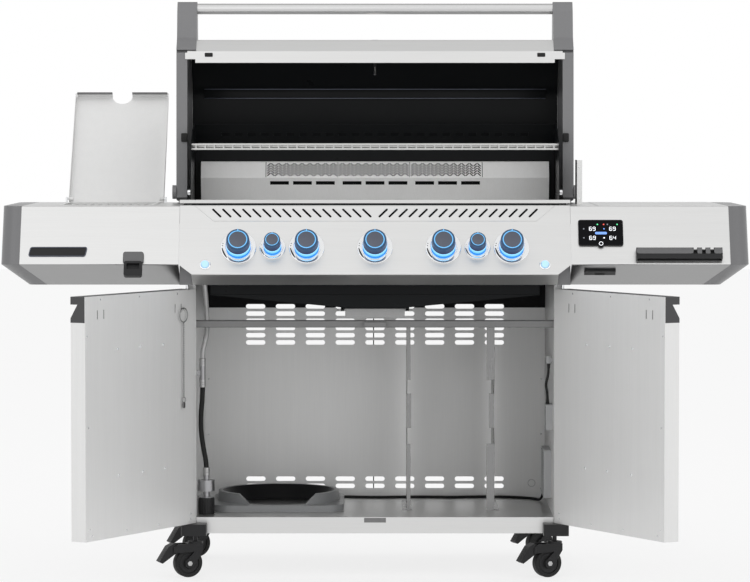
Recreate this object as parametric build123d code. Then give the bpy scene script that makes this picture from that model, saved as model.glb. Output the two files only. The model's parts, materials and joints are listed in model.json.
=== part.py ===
from build123d import *
import os
from math import atan2, cos, hypot, radians, sin, tan

# Gas barbecue grill on a two-door cabinet, hood and doors open.
# Millimetres. X runs to the right, Y to the back, Z up. While the pieces are made, Y is
# counted from the front of the base pan; the whole is centred on the floor at the end.

# Common sizes
SHEET = 1.5  # folded sheet steel
BEND = 2.5  # inside radius of its folds
PLAY = 0.06  # radial play of a turning pin in its hole
GAP = 0.5  # gap beside pieces that slide past each other

# Casters
WHEEL_RADIUS = 38
WHEEL_WIDTH = 27
TRAIL = 22
AXLE_RADIUS = 4
STEM_RADIUS = 6
FORK_TOP = 2 * WHEEL_RADIUS + 19
FORK_PLATE = 3
SOCKET_BOTTOM = FORK_TOP + 16
PEDAL_PIN = 3

# Cabinet
INNER_HALF = 476  # half of the clear width between the walls
WALL = 24  # thickness of the box-section walls
OUTER_HALF = INNER_HALF + WALL
WALL_FRONT = 8  # walls stand back from the base pan front
CABINET_DEPTH = 513  # base pan front to the inside of the back panel
BODY_LOW = 776  # underside of the cooking body and its shelves
FLOOR = SOCKET_BOTTOM + 45.5  # top of the base pan
BASE_LIP = 43  # height of its folded edge
WALL_TOP = BODY_LOW + 24  # underside of the firebox
RAIL_TOP = BODY_LOW - 96  # header rail behind the doors
RAIL_HEIGHT = 19
RAIL_FRONT = 14
RAIL_DEPTH = 26

# Back panel slots
SLOT_COLUMNS = 9
SLOT_PITCH = (INNER_HALF - 58.5) / 5
SLOT_LENGTH = 54
SLOT_HEIGHT = 12.7
SLOT_ROW_PITCH = 20.2
UPPER_ROWS = 6
UPPER_ROW_FIRST = BODY_LOW - 185
LOWER_ROWS = 2
LOWER_ROW_FIRST = FLOOR + 31.5

# Upright dividers and cylinder ring
DIVIDER_X = (INNER_HALF - 390, INNER_HALF - 154)
DIVIDER_FRONT = 176
DIVIDER_DEPTH = CABINET_DEPTH - DIVIDER_FRONT - 97
DIVIDER_TOP = BODY_LOW - 121
DIVIDER_FLANGE = 20
RING_RADIUS = 172
RING_X = RING_RADIUS + 40 - INNER_HALF
RING_Y = CABINET_DEPTH - RING_RADIUS - 41
RING_DISH = RING_RADIUS - 46  # radius of the dish's floor
RING_HEIGHT = 44
RING_SKIRT = 17

# Places of the casters
STEM_X = OUTER_HALF - 23
STEM_Y = -16
REAR_STEM_X = OUTER_HALF - 23
REAR_STEM_Y = CABINET_DEPTH - 79
FRONT_YAW = 21
REAR_YAW = 24

# Doors
DOOR_WIDTH = OUTER_HALF + 12
DOOR_THICK = 45
DOOR_BOTTOM = FLOOR - 14
DOOR_TOP = BODY_LOW - 11
DOOR_MEET = 2  # half of the gap between the two doors
DOOR_BACK = -2  # liner face of a closed door
HINGE_IN = 16  # hinge axis in from the door's edge and from its liner face
DOOR_OPEN = 120
HINGE_PIN = 4
GRIP_HEIGHT = 66
NOTCH_DEPTH = 21
NOTCH_MOUTH = 35
CHAIN_LENGTH = 175

# Firebox
BOX_INNER = OUTER_HALF - 17.5  # half of its inner width
BOX_WALL = 4
BOX_FRONT = -5
BOX_BACK = CABINET_DEPTH - 39
BOX_TOP = BODY_LOW + 216
RIM_HALF = OUTER_HALF + 6
RIM_THICK = 4
GRID_SEAT = BOX_TOP - 37
PLATE_SEAT = BOX_TOP - 122
BURNER_Z = BOX_TOP - 144
BURNER_RADIUS = 13
TUBE_WALL = 2
GRID_ROD = 8
RODS_PER_GRID = 18

# Rear burner, rack and fixed rear hood
REAR_TOP = BOX_TOP + 106
REAR_FOLD = BOX_TOP + 61
REAR_BOTTOM = BOX_TOP - 12
REAR_FRONT = BOX_BACK - 50
REAR_LEAN = 16
REAR_SECTION = BOX_INNER * 5 / 12  # between the middles of its three parts
REAR_SLOT = REAR_SECTION * 0.316
RACK_Z = BOX_TOP + 148
RACK_FRONT = BOX_BACK - 234
RACK_DEPTH = 180
RACK_RODS = 40
CHEEK_INNER = OUTER_HALF - 2
CHEEK_SHEET = 2
CHEEK_FRONT = BOX_BACK - 274
CHEEK_TOP = BOX_TOP + 157
HOOD_BACK_TOP = BOX_TOP + 210
HOOD_VENT_PITCH = (CHEEK_INNER - 84) / 11.5

# Hood
PIVOT_Y = BOX_BACK - 129
PIVOT_Z = BOX_TOP + 23
HOOD_OPEN = 93
PIVOT_PIN = 8
HOOD_HALF = OUTER_HALF + 15  # half width of skin and liner
HOOD_PROFILE = [
    (-9, BOX_TOP + 8), (-40, BOX_TOP + 8), (-75, BOX_TOP + 43), (-45, BOX_TOP + 188), (50, BOX_TOP + 270),
    (PIVOT_Y - 15, BOX_TOP + 288), (PIVOT_Y + 47, BOX_TOP + 284), (PIVOT_Y + 55, BOX_TOP + 266),
]
HOOD_BENDS = [3, 3, 50, 80, 30, 6]
LINER_GAP = 12
CASTING_WIDTH = 30
CASTING_WALL = 5
CASTING_LOW = BOX_TOP + 11
EAR_INNER = HOOD_HALF - 24
HANDLE_Y = -163
HANDLE_Z = BOX_TOP + 83
HANDLE_RADIUS = 15
DIAL_Z = BOX_TOP + 118
DIAL_RADIUS = 38

# Control panel
PANEL_HALF = OUTER_HALF + 15
PANEL_TOP = (-30, BOX_TOP - 5)
PANEL_BOTTOM = (-117, BODY_LOW + 32)
PANEL_RETURN = (-60, BODY_LOW + 2)
CORNER_X = PANEL_HALF - 34
CORNER_Z = BODY_LOW + 57
KNOB_Z = BODY_LOW + 101
KNOB_PITCH = (PANEL_HALF - 156) / 2  # between two large knobs
LARGE_KNOBS = {"far_left": -2 * KNOB_PITCH, "near_left": -KNOB_PITCH, "centre": 0, "near_right": KNOB_PITCH,
               "far_right": 2 * KNOB_PITCH}
SMALL_KNOBS = {"small_left": -1.5 * KNOB_PITCH, "small_right": 1.5 * KNOB_PITCH}
BEZEL_RADIUS = KNOB_PITCH * 0.262
KNOB_RADIUS = BEZEL_RADIUS - 15
SMALL_BEZEL_RADIUS = KNOB_PITCH * 0.192
SMALL_KNOB_RADIUS = SMALL_BEZEL_RADIUS - 11.5
KNOB_FACE = 54  # knob front above the panel
KNOB_BACK = 13
KNOB_STEM = 5
VALVE_RADIUS = 15
PIPE_RADIUS = 11
STRAP_X = PANEL_HALF - 115  # straps that hold the gas pipe to the firebox
BUTTON_X = PANEL_HALF - 69
BUTTON_Z = BODY_LOW + 57
BUTTON_RADIUS = 10
BUTTON_TRAVEL = 3
VENTS = 16
VENT_FIRST = 21.5
VENT_PITCH = (PANEL_HALF - 97.5 - VENT_FIRST) / (VENTS - 1)
VENT_Z = BOX_TOP - 25

# Side shelves
SHELF_TOP = BOX_TOP - 7
SHELF_BACK = BOX_BACK - 19
SHELF_EDGE_Z = BODY_LOW + 57
SHELF_UNDER = BODY_LOW
SHELF_UNDER_Y = 0
SHELF_LENGTH = 418  # panel end to the seam of the end cap
SHELF_SEAM = PANEL_HALF + SHELF_LENGTH
SHELF_TIP = SHELF_SEAM + 51
SEAM_UNDER = SHELF_SEAM - 64
TIP_UNDER = SHELF_SEAM - 15
CAP_RADIUS = 40
CAP_WALL = 3

# Fittings on the shelves
OPENER_X = -PANEL_HALF - 119
RAIL_X = SHELF_SEAM - 135
HOOK_Z = BODY_LOW + 80
DISPLAY_X = PANEL_HALF + 79
DISPLAY_Z = BODY_LOW + 138
PORT_X = PANEL_HALF + 77
BRACKET_X = HOOD_HALF + CASTING_WIDTH + 2
BRACKET_TOP = SHELF_TOP + 119

# Side burner
SIDE_X = -PANEL_HALF - 203
SIDE_WIDTH = 264
SIDE_PIVOT_Y = SHELF_BACK - 3
SIDE_LENGTH = SIDE_PIVOT_Y - 68
SIDE_PIVOT_Z = SHELF_TOP + 9
SIDE_LID_LOW = SIDE_PIVOT_Z - 6
SIDE_LID_TOP = SIDE_PIVOT_Z + 14
SIDE_OPEN = 130
SIDE_PIN = 3
SIDE_DEPTH = 60
SIDE_INSET = 11  # tray sides in from the lid sides
SIDE_RODS = 11

# Drip tray and grease pan
TRAY_HALF = INNER_HALF - 38
TRAY_SHEET = 1.2
TRAY_EDGE = WALL_TOP - 53  # lower edge of its upright rim
TRAY_LOW = TRAY_EDGE - 34
TRAY_FRONT = 30
TRAY_BACK = BOX_BACK - 34
PAN_HALF = 80
PAN_FLANGE = 8
PAN_TOP = TRAY_LOW - 7
PAN_BOTTOM = PAN_TOP - 23
PAN_FRONT = 120
PAN_LENGTH = TRAY_BACK - PAN_FRONT - 20

# Gas and power
HOSE = 13
HOSE_X = 24 - INNER_HALF
ELBOW = 14  # length of the outlet at the end of the gas pipe
COUPLING_TOP = BODY_LOW - 220
COUPLING_LOW = COUPLING_TOP - 38
REGULATOR_Y = 82
REGULATOR_TOP = FLOOR + 105.5
LEAD = 7
PACK_BOTTOM = FLOOR + 35.5
PACK_TOP = PACK_BOTTOM + 129
INLET_X = INNER_HALF - 806

HINGE_X = DOOR_WIDTH + DOOR_MEET - HINGE_IN
HINGE_Y = DOOR_BACK - HINGE_IN
DOOR_FACE = HINGE_IN - DOOR_THICK
PANEL_TILT = atan2(PANEL_TOP[0] - PANEL_BOTTOM[0], PANEL_TOP[1] - PANEL_BOTTOM[1])
SOCKET_TOP = DOOR_BOTTOM - GAP
SIDE_TRAY_X = (SIDE_X - SIDE_WIDTH / 2 + SIDE_INSET, SIDE_X + SIDE_WIDTH / 2 - SIDE_INSET)
SIDE_TRAY_Y = (SIDE_PIVOT_Y - SIDE_LENGTH + SIDE_INSET + 2, SIDE_PIVOT_Y - 60)


def block(x, y, z):
    size = [b - a for a, b in (x, y, z)]
    middle = [(a + b) / 2 for a, b in (x, y, z)]
    return Pos(*middle) * Box(*size)


def rod(start, end, radius):
    start, end = Vector(start), Vector(end)
    along = end - start
    bottom = (Align.CENTER, Align.CENTER, Align.MIN)
    return Plane(origin=start, z_dir=along) * Cylinder(radius, along.length, align=bottom)


def mirrored(shape):
    return mirror(shape, about=Plane.YZ)


def both(shape):
    return [shape, mirrored(shape)]


def prism(points, x0, x1, bends=0):
    """Closed outline in Y and Z, drawn out along X."""
    outline = FilletPolyline(*points, radius=bends, close=True) if bends else Polyline(*points, close=True)
    return Pos(x0, 0, 0) * extrude(Plane.YZ * make_face(outline), x1 - x0)


def offset_points(points, distance):
    """The same open path, moved to its left side by the distance."""
    normals = []
    for (a, b), (c, d) in zip(points, points[1:]):
        length = hypot(c - a, d - b)
        normals.append(((b - d) / length, (c - a) / length))
    moved = []
    for i, (a, b) in enumerate(points):
        p = normals[max(i - 1, 0)]
        q = normals[min(i, len(normals) - 1)]
        scale = distance / (1 + p[0] * q[0] + p[1] * q[1])
        moved.append((a + (p[0] + q[0]) * scale, b + (p[1] + q[1]) * scale))
    return moved


def strip(points, thickness, bend):
    """Face of a sheet folded along the path; the sheet lies to the left of the path."""
    inner = offset_points(points, thickness)
    radii = bend if isinstance(bend, list) else [bend] * (len(points) - 2)
    near, far = [], []
    for (a, b, c), r in zip(zip(points, points[1:], points[2:]), radii):
        left = (b[0] - a[0]) * (c[1] - b[1]) - (b[1] - a[1]) * (c[0] - b[0]) > 0
        near.append(r + thickness if left else r)
        far.append(r if left else r + thickness)
    edges = FilletPolyline(*points, radius=near).edges() + FilletPolyline(*inner, radius=far).edges()
    edges += [Line(points[0], inner[0]).edge(), Line(points[-1], inner[-1]).edge()]
    return make_face(edges)


def folded(points, x0, x1, thickness=SHEET, bend=BEND):
    """Sheet folded along a path in Y and Z, drawn out along X."""
    return Pos(x0, 0, 0) * extrude(Plane.YZ * strip(points, thickness, bend), x1 - x0)


def folded_deep(points, y0, y1, thickness=SHEET, bend=BEND):
    """Sheet folded along a path in X and Z, drawn out along Y."""
    return Pos(0, y1, 0) * extrude(Plane.XZ * strip(points, thickness, bend), y1 - y0)


def cord(points, diameter):
    """Round cord along straight runs joined by tangent arcs."""
    radii = []
    for a, b, c in zip(points, points[1:], points[2:]):
        before, after = Vector(b) - Vector(a), Vector(c) - Vector(b)
        half = radians(before.get_angle(after)) / 2
        radii.append(0.45 * min(before.length, after.length) / tan(half))
    path = FilletPolyline(*points, radius=radii)
    start = Plane(origin=path @ 0, z_dir=path % 0)
    return sweep(start * Circle(diameter / 2), path=path), min(radii), path.length


def panel_y(z):
    return PANEL_TOP[0] - (PANEL_TOP[1] - z) * tan(PANEL_TILT)


def panel_plane(x, z):
    """Plane on the tilted front face, its normal pointing at the user."""
    normal = (0, -cos(PANEL_TILT), sin(PANEL_TILT))
    return Plane(origin=(x, panel_y(z), z), x_dir=(1, 0, 0), z_dir=normal)


def on_panel(x, z, radius, low, high):
    middle = (Align.CENTER, Align.CENTER, Align.MIN)
    return panel_plane(x, z) * (Pos(0, 0, low) * Cylinder(radius, high - low, align=middle))


def opened(shape):
    return shape.rotate(Axis((0, PIVOT_Y, PIVOT_Z), (1, 0, 0)), -HOOD_OPEN)


nodes = {}

# Caster sockets, cut out of the base pan and the walls they pass through
stem_bore = STEM_RADIUS + PLAY
front_socket = block((STEM_X - 30, DOOR_WIDTH + DOOR_MEET), (-46, 40), (SOCKET_BOTTOM, SOCKET_TOP))
front_socket = fillet(front_socket.edges().filter_by(Axis.Z).group_by(Axis.Y)[0], 6)
stem_hole = rod((STEM_X, STEM_Y, SOCKET_BOTTOM), (STEM_X, STEM_Y, SOCKET_BOTTOM + 18), stem_bore)
pin_hole = rod((HINGE_X, HINGE_Y, SOCKET_TOP - 16), (HINGE_X, HINGE_Y, SOCKET_TOP), HINGE_PIN)
front_space = front_socket
front_socket = front_socket - stem_hole - pin_hole
rear_space = block((REAR_STEM_X - 28, OUTER_HALF), (REAR_STEM_Y - 28, REAR_STEM_Y + 28),
                   (SOCKET_BOTTOM, FLOOR - SHEET))
rear_hole = rod((REAR_STEM_X, REAR_STEM_Y, SOCKET_BOTTOM), (REAR_STEM_X, REAR_STEM_Y, SOCKET_BOTTOM + 18),
                stem_bore)
nodes["caster_sockets"] = both(front_socket) + both(rear_space - rear_hole)

# Base pan: a floor sheet on four edge strips
base_bottom = FLOOR - BASE_LIP
strip_z = (base_bottom, FLOOR - SHEET)
side_strip = block((INNER_HALF - SHEET, INNER_HALF), (SHEET, CABINET_DEPTH), strip_z)
strips = both(side_strip)
for y in (0, CABINET_DEPTH):
    strips.append(block((-INNER_HALF, INNER_HALF), (y, y + SHEET), strip_z))
base = [block((-INNER_HALF, INNER_HALF), (0, CABINET_DEPTH + SHEET), (FLOOR - SHEET, FLOOR))]
for edge_strip in strips:
    for space in both(front_space) + both(rear_space):
        edge_strip -= space
    base.append(edge_strip)
nodes["base_pan"] = base

# Cabinet frame: two box-section walls and the header rail with its catch
wall = block((INNER_HALF, OUTER_HALF), (WALL_FRONT, CABINET_DEPTH + SHEET), (base_bottom, WALL_TOP))
wall -= block((INNER_HALF + SHEET, OUTER_HALF - SHEET), (WALL_FRONT + SHEET, CABINET_DEPTH),
              (base_bottom, WALL_TOP))
wall = wall - front_space - rear_space
rail_path = [(RAIL_FRONT + RAIL_DEPTH, RAIL_TOP), (RAIL_FRONT, RAIL_TOP),
             (RAIL_FRONT, RAIL_TOP - RAIL_HEIGHT), (RAIL_FRONT + RAIL_DEPTH / 2, RAIL_TOP - RAIL_HEIGHT)]
rail = folded(rail_path, -INNER_HALF, INNER_HALF)
catch = block((-29, 29), (DOOR_BACK + GAP, RAIL_FRONT), (RAIL_TOP - RAIL_HEIGHT + 3, RAIL_TOP - 4))
floor_catch = block((-29, 29), (DOOR_BACK + GAP, 0), (FLOOR - 14, FLOOR - 2))
nodes["cabinet_frame"] = both(wall) + [rail, catch, floor_catch]

# Back panel with its rows of slots
back = block((-INNER_HALF, INNER_HALF), (CABINET_DEPTH, CABINET_DEPTH + SHEET), (FLOOR, WALL_TOP))
slot_face = SlotOverall(SLOT_LENGTH, SLOT_HEIGHT)
slots = Sketch()
for rows, first in ((UPPER_ROWS, UPPER_ROW_FIRST), (LOWER_ROWS, LOWER_ROW_FIRST)):
    row_middle = first + (rows - 1) * SLOT_ROW_PITCH / 2
    slots += Pos(0, row_middle) * GridLocations(SLOT_PITCH, SLOT_ROW_PITCH, SLOT_COLUMNS, rows) * slot_face
slot_cut = Pos(0, CABINET_DEPTH + 2 * SHEET, 0) * extrude(Plane.XZ * slots, 3 * SHEET)
nodes["back_panel"] = [back - slot_cut]

# Upright dividers: folded plates with a hand cut-out at the front
dividers = []
for x, flange in zip(DIVIDER_X, (DIVIDER_FLANGE / 2, -DIVIDER_FLANGE)):
    back_y = DIVIDER_FRONT + DIVIDER_DEPTH
    low, high = FLOOR + 180, DIVIDER_TOP - 145
    plate = prism([(DIVIDER_FRONT, FLOOR), (back_y, FLOOR), (back_y, DIVIDER_TOP),
                   (DIVIDER_FRONT, DIVIDER_TOP), (DIVIDER_FRONT, high), (DIVIDER_FRONT + 40, high - 40),
                   (DIVIDER_FRONT + 40, low + 40), (DIVIDER_FRONT, low)], x, x + SHEET)
    reach = sorted((x + SHEET, x + flange))
    for z in ((FLOOR, low), (high, DIVIDER_TOP)):
        plate += block(reach, (DIVIDER_FRONT, DIVIDER_FRONT + SHEET), z)
    inside = sorted((x + SHEET, x + flange / abs(flange) * 12))
    plate += block(inside, (DIVIDER_FRONT + 40, DIVIDER_FRONT + 40 + SHEET), (low + 40, high - 40))
    plate += block((x - 12, x + 14), (DIVIDER_FRONT + 4, back_y), (FLOOR, FLOOR + SHEET))
    dividers.append(plate)
nodes["cabinet_dividers"] = dividers

# Cylinder ring: a moulded dish with a front notch
side = 2 * RING_RADIUS
ring = extrude(RectangleRounded(side + 14, side, RING_RADIUS * 0.32), RING_SKIRT)
upper = Circle(RING_RADIUS - 4)
ring += Pos(0, 0, RING_SKIRT) * extrude(upper, RING_HEIGHT - RING_SKIRT, taper=8)
hollow = Pos(0, 0, 6) * extrude(Circle(RING_DISH), RING_HEIGHT, taper=-32)
ring -= hollow
notch_face = make_face(Polyline((-74, RING_SKIRT), (74, RING_SKIRT), (104, RING_HEIGHT + 1),
                                (-104, RING_HEIGHT + 1), close=True))
notch = Pos(0, -60, 0) * extrude(Plane.XZ * notch_face, RING_RADIUS * 1.1 - 60)
nodes["cylinder_ring"] = [Pos(RING_X, RING_Y, FLOOR) * (ring - notch)]

# Casters: stem and fork in one, wheel of tyre and hub, and a brake pedal between the fork arms
arm_inner = WHEEL_WIDTH / 2 + 2.5
arm_outer = arm_inner + FORK_PLATE
pedal_x, pedal_z = -TRAIL - 36, 2 * WHEEL_RADIUS - 2
arm_top, arm_low = FORK_TOP - 5, WHEEL_RADIUS - 11
arm_points = [(15, arm_top), (15, arm_top - 18), (12 - TRAIL, arm_low + 4), (7 - TRAIL, arm_low),
              (-TRAIL - 7, arm_low), (-TRAIL - 11, arm_low + 4), (-TRAIL - 11, arm_low + 16),
              (-8, arm_top - 21), (pedal_x - 8, pedal_z - 8), (pedal_x - 8, pedal_z + 8),
              (pedal_x + 6, arm_top)]
fork = rod((0, 0, FORK_TOP), (0, 0, SOCKET_BOTTOM + 17), STEM_RADIUS)
fork += rod((0, 0, FORK_TOP - 9), (0, 0, FORK_TOP), 20)
fork += block((-24, 15), (-arm_outer, arm_outer), (arm_top - 7, arm_top))
for low in (-arm_outer, arm_inner):
    arm = extrude(Plane.XZ * make_face(Polyline(*arm_points, close=True)), -FORK_PLATE)
    fork += Pos(0, low, 0) * arm
fork += rod((-TRAIL, -arm_outer - 2, WHEEL_RADIUS), (-TRAIL, arm_outer + 2, WHEEL_RADIUS), AXLE_RADIUS)
fork -= rod((pedal_x, -arm_outer - 1, pedal_z), (pedal_x, arm_outer + 1, pedal_z), PEDAL_PIN + PLAY)

tread = Cylinder(WHEEL_RADIUS, WHEEL_WIDTH)
tread = fillet(tread.edges(), 5)
hub_radius = WHEEL_RADIUS * 0.72
tyre = tread - Cylinder(hub_radius, WHEEL_WIDTH * 2)
hub = Cylinder(hub_radius, WHEEL_WIDTH - 7) + Cylinder(hub_radius * 0.5, WHEEL_WIDTH + 3)
hub -= Cylinder(AXLE_RADIUS + PLAY, WHEEL_WIDTH * 2)
turned = Pos(-TRAIL, 0, WHEEL_RADIUS) * Rot(90, 0, 0)
wheel = [turned * tyre, turned * hub]

pedal_points = [(pedal_x + 6, pedal_z + 12), (pedal_x + 6, pedal_z - 6), (pedal_x - 6, pedal_z - 12),
                (pedal_x - 38, pedal_z - 34), (pedal_x - 47, pedal_z - 29), (pedal_x - 22, pedal_z + 10),
                (pedal_x - 6, pedal_z + 18)]
half = arm_inner - GAP
pedal = Pos(0, -half, 0) * extrude(Plane.XZ * make_face(Polyline(*pedal_points, close=True)), -2 * half)
pedal += rod((pedal_x, -arm_outer, pedal_z), (pedal_x, arm_outer, pedal_z), PEDAL_PIN)

CASTERS = {
    "front_left": (-STEM_X, STEM_Y, FRONT_YAW),
    "front_right": (STEM_X, STEM_Y, FRONT_YAW),
    "rear_left": (-REAR_STEM_X, REAR_STEM_Y, REAR_YAW),
    "rear_right": (REAR_STEM_X, REAR_STEM_Y, REAR_YAW),
}
for place, (x, y, yaw) in CASTERS.items():
    stand = Pos(x, y, 0) * Rot(0, 0, yaw)
    nodes["caster_fork_" + place] = [stand * fork]
    nodes["caster_wheel_" + place] = [stand * piece for piece in wheel]
    nodes["caster_brake_" + place] = [stand * pedal]

# Doors, made closed about the hinge axis, then swung open
door_end = DOOR_WIDTH - HINGE_IN
liner_y = (HINGE_IN - SHEET, HINGE_IN)
grip_low = DOOR_TOP - GRIP_HEIGHT
shell = block((-HINGE_IN, door_end), (DOOR_FACE, liner_y[0]), (DOOR_BOTTOM, grip_low))
shell -= block((SHEET - HINGE_IN, door_end - SHEET), (DOOR_FACE + SHEET, liner_y[0]),
               (DOOR_BOTTOM + SHEET, grip_low))
shell += rod((0, 0, DOOR_BOTTOM), (0, 0, DOOR_BOTTOM + 20), HINGE_PIN + 6)
shell -= rod((0, 0, DOOR_BOTTOM - 1), (0, 0, DOOR_BOTTOM + 21), HINGE_PIN + PLAY)
liner = block((-HINGE_IN, door_end), liner_y, (DOOR_BOTTOM, DOOR_TOP))
for x in (50, 79, door_end - 86, door_end - 57):
    liner -= block((x, x + 4), (liner_y[0] - 1, liner_y[1] + 1), (DOOR_TOP - 59, DOOR_TOP - 36))
notch_top = DOOR_TOP - 20
grip = prism([(liner_y[0], DOOR_TOP), (DOOR_FACE, DOOR_TOP), (DOOR_FACE, notch_top),
              (DOOR_FACE + NOTCH_DEPTH, notch_top), (DOOR_FACE, notch_top - NOTCH_MOUTH),
              (DOOR_FACE, grip_low), (liner_y[0], grip_low)], -HINGE_IN, door_end)
grip -= rod((0, 0, DOOR_TOP - 16), (0, 0, DOOR_TOP + 1), HINGE_PIN + PLAY)
liner -= grip
shell = fillet(shell.edges().filter_by(Axis.Z).group_by(Axis.Y)[0], 2)

# Lighter chain hanging behind the left door
chain_x, chain_y = 50, HINGE_IN + 6
chain_top = DOOR_TOP - 96
chain = rod((chain_x, chain_y, chain_top), (chain_x, chain_y, chain_top + 12), 4)
chain += rod((chain_x, chain_y, chain_top - CHAIN_LENGTH - 12),
             (chain_x, chain_y, chain_top - CHAIN_LENGTH), 4)
for side in (-2.2, 2.2):
    chain += rod((chain_x + side, chain_y, chain_top - CHAIN_LENGTH - 1),
                 (chain_x + side, chain_y, chain_top + 1), 1.7)
chain += Pos(chain_x, chain_y - 1.5, chain_top + 30) * Rot(90, 0, 0) * Torus(18.6, 1.4)
chain += Pos(chain_x, chain_y, chain_top - CHAIN_LENGTH - 19) * Rot(90, 0, 0) * Torus(7.5, 1.2)
chain += block((chain_x - 5, chain_x + 5), (chain_y - 1.5, chain_y + 1.5),
               (chain_top - CHAIN_LENGTH - 40, chain_top - CHAIN_LENGTH - 25))
hook = rod((chain_x, HINGE_IN, chain_top + 47), (chain_x, chain_y - 1, chain_top + 47), 1.8)
chain += hook

swing = Pos(-HINGE_X, HINGE_Y, 0) * Rot(0, 0, -DOOR_OPEN)
nodes["left_door"] = [swing * shell, swing * liner]
nodes["left_door_grip"] = [swing * grip]
nodes["lighter_chain"] = [swing * chain]
nodes["right_door"] = [mirrored(swing * shell), mirrored(swing * liner)]
nodes["right_door_grip"] = [mirrored(swing * grip)]

# Firebox: open tub with a rim, seats for the plates and grids and holes for the burners
box_back_inner = BOX_BACK - BOX_WALL
box_front_inner = BOX_FRONT + BOX_WALL
box_outer = BOX_INNER + BOX_WALL
tub = block((-box_outer, box_outer), (BOX_FRONT, BOX_BACK), (WALL_TOP, BOX_TOP))
tub += block((-RIM_HALF, RIM_HALF), (BOX_FRONT - 3, BOX_BACK + 4), (BOX_TOP - RIM_THICK, BOX_TOP))
tub -= block((-BOX_INNER, BOX_INNER), (box_front_inner, box_back_inner), (WALL_TOP + BOX_WALL, BOX_TOP + 1))
tub -= block((-TRAY_HALF, TRAY_HALF), (box_front_inner + 40, box_back_inner - 40),
             (WALL_TOP - 1, WALL_TOP + 9))
for seat in (GRID_SEAT, PLATE_SEAT):
    for y in ((box_front_inner, box_front_inner + 12), (box_back_inner - 12, box_back_inner)):
        tub += block((-BOX_INNER, BOX_INNER), y, (seat - 4, seat))
for x in LARGE_KNOBS.values():
    tub -= rod((x, BOX_FRONT - 1, BURNER_Z), (x, box_front_inner + 1, BURNER_Z), BURNER_RADIUS + 0.4)
nodes["firebox"] = [tub]

burners, plates = [], []
for x in LARGE_KNOBS.values():
    tube = rod((x, BOX_FRONT - 7, BURNER_Z), (x, box_back_inner, BURNER_Z), BURNER_RADIUS)
    tube -= rod((x, BOX_FRONT - 7, BURNER_Z), (x, box_back_inner - TUBE_WALL, BURNER_Z),
                BURNER_RADIUS - TUBE_WALL)
    burners.append(tube)
    low, high = PLATE_SEAT + SHEET * 0.8, PLATE_SEAT + 34
    roof = [(x + 62, low), (x + 20, high), (x - 20, high), (x - 62, low)]
    plates.append(folded_deep(roof, box_front_inner, box_back_inner))
nodes["burner_tubes"] = burners
nodes["sear_plates"] = plates


def grid(x0, x1, y0, y1, z, rods):
    bars = []
    for y in (y0 + 20, (y0 + y1) / 2, y1 - 20):
        bars.append(block((x0, x1), (y - GRID_ROD / 2, y + GRID_ROD / 2), (z, z + GRID_ROD)))
    pitch = (x1 - x0 - GRID_ROD) / (rods - 1)
    for i in range(rods):
        x = x0 + i * pitch
        bars.append(block((x, x + GRID_ROD), (y0, y1), (z + GRID_ROD / 2, z + GRID_ROD * 1.5)))
    return bars[0].fuse(*bars[1:])


grids = []
third = 2 * BOX_INNER / 3
for i in range(3):
    left = -BOX_INNER + i * third + GAP
    grids.append(grid(left, left + third - 2 * GAP, box_front_inner + GAP, box_back_inner - GAP,
                      GRID_SEAT - GRID_ROD / 2, RODS_PER_GRID))
side_seat = SHELF_TOP - 11
side_grate = grid(SIDE_TRAY_X[0] + SIDE_INSET, SIDE_TRAY_X[1] - SIDE_INSET,
                  SIDE_TRAY_Y[0] + TRAY_SHEET + GAP, SIDE_TRAY_Y[1] - TRAY_SHEET - GAP,
                  side_seat - GRID_ROD / 2, SIDE_RODS)
nodes["cooking_grids"] = grids + [side_grate]

# Rear burner housing, its lower face slotted
rear_points = [(box_back_inner, REAR_TOP), (REAR_FRONT + REAR_LEAN, REAR_TOP), (REAR_FRONT, REAR_FOLD),
               (REAR_FRONT + REAR_LEAN, REAR_BOTTOM), (box_back_inner, REAR_BOTTOM)]
housing = folded(rear_points, GAP - BOX_INNER, BOX_INNER - GAP)
for section in (-1, 0, 1):
    for step in (-1, 0, 1):
        x = section * REAR_SECTION + step * REAR_SLOT
        housing -= block((x - 0.41 * REAR_SLOT, x + 0.41 * REAR_SLOT), (REAR_FRONT - 5, REAR_FRONT + 20),
                         (REAR_FOLD - 19, REAR_FOLD - 9.5))
nodes["rear_burner"] = [housing]

# Warming rack hung between the cheeks of the fixed rear hood
rack_bars = []
for y, z in ((RACK_FRONT, RACK_Z - 6), (RACK_FRONT, RACK_Z + 6), (RACK_FRONT + RACK_DEPTH, RACK_Z + 6),
             (RACK_FRONT + RACK_DEPTH / 2, RACK_Z)):
    rack_bars.append(block((-CHEEK_INNER, CHEEK_INNER), (y - 2.5, y + 2.5), (z - 2.5, z + 2.5)))
for i in range(RACK_RODS):
    x = -CHEEK_INNER + 12 + i * (2 * CHEEK_INNER - 24) / (RACK_RODS - 1)
    across = (RACK_FRONT - 2, RACK_FRONT + RACK_DEPTH + 2)
    rack_bars.append(block((x - 2, x + 2), across, (RACK_Z + 1, RACK_Z + 5)))
    rack_bars.append(block((x - 2, x + 2), (RACK_FRONT - 2, RACK_FRONT + 2), (RACK_Z - 7, RACK_Z + 3)))
nodes["warming_rack"] = [rack_bars[0].fuse(*rack_bars[1:])]

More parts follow.
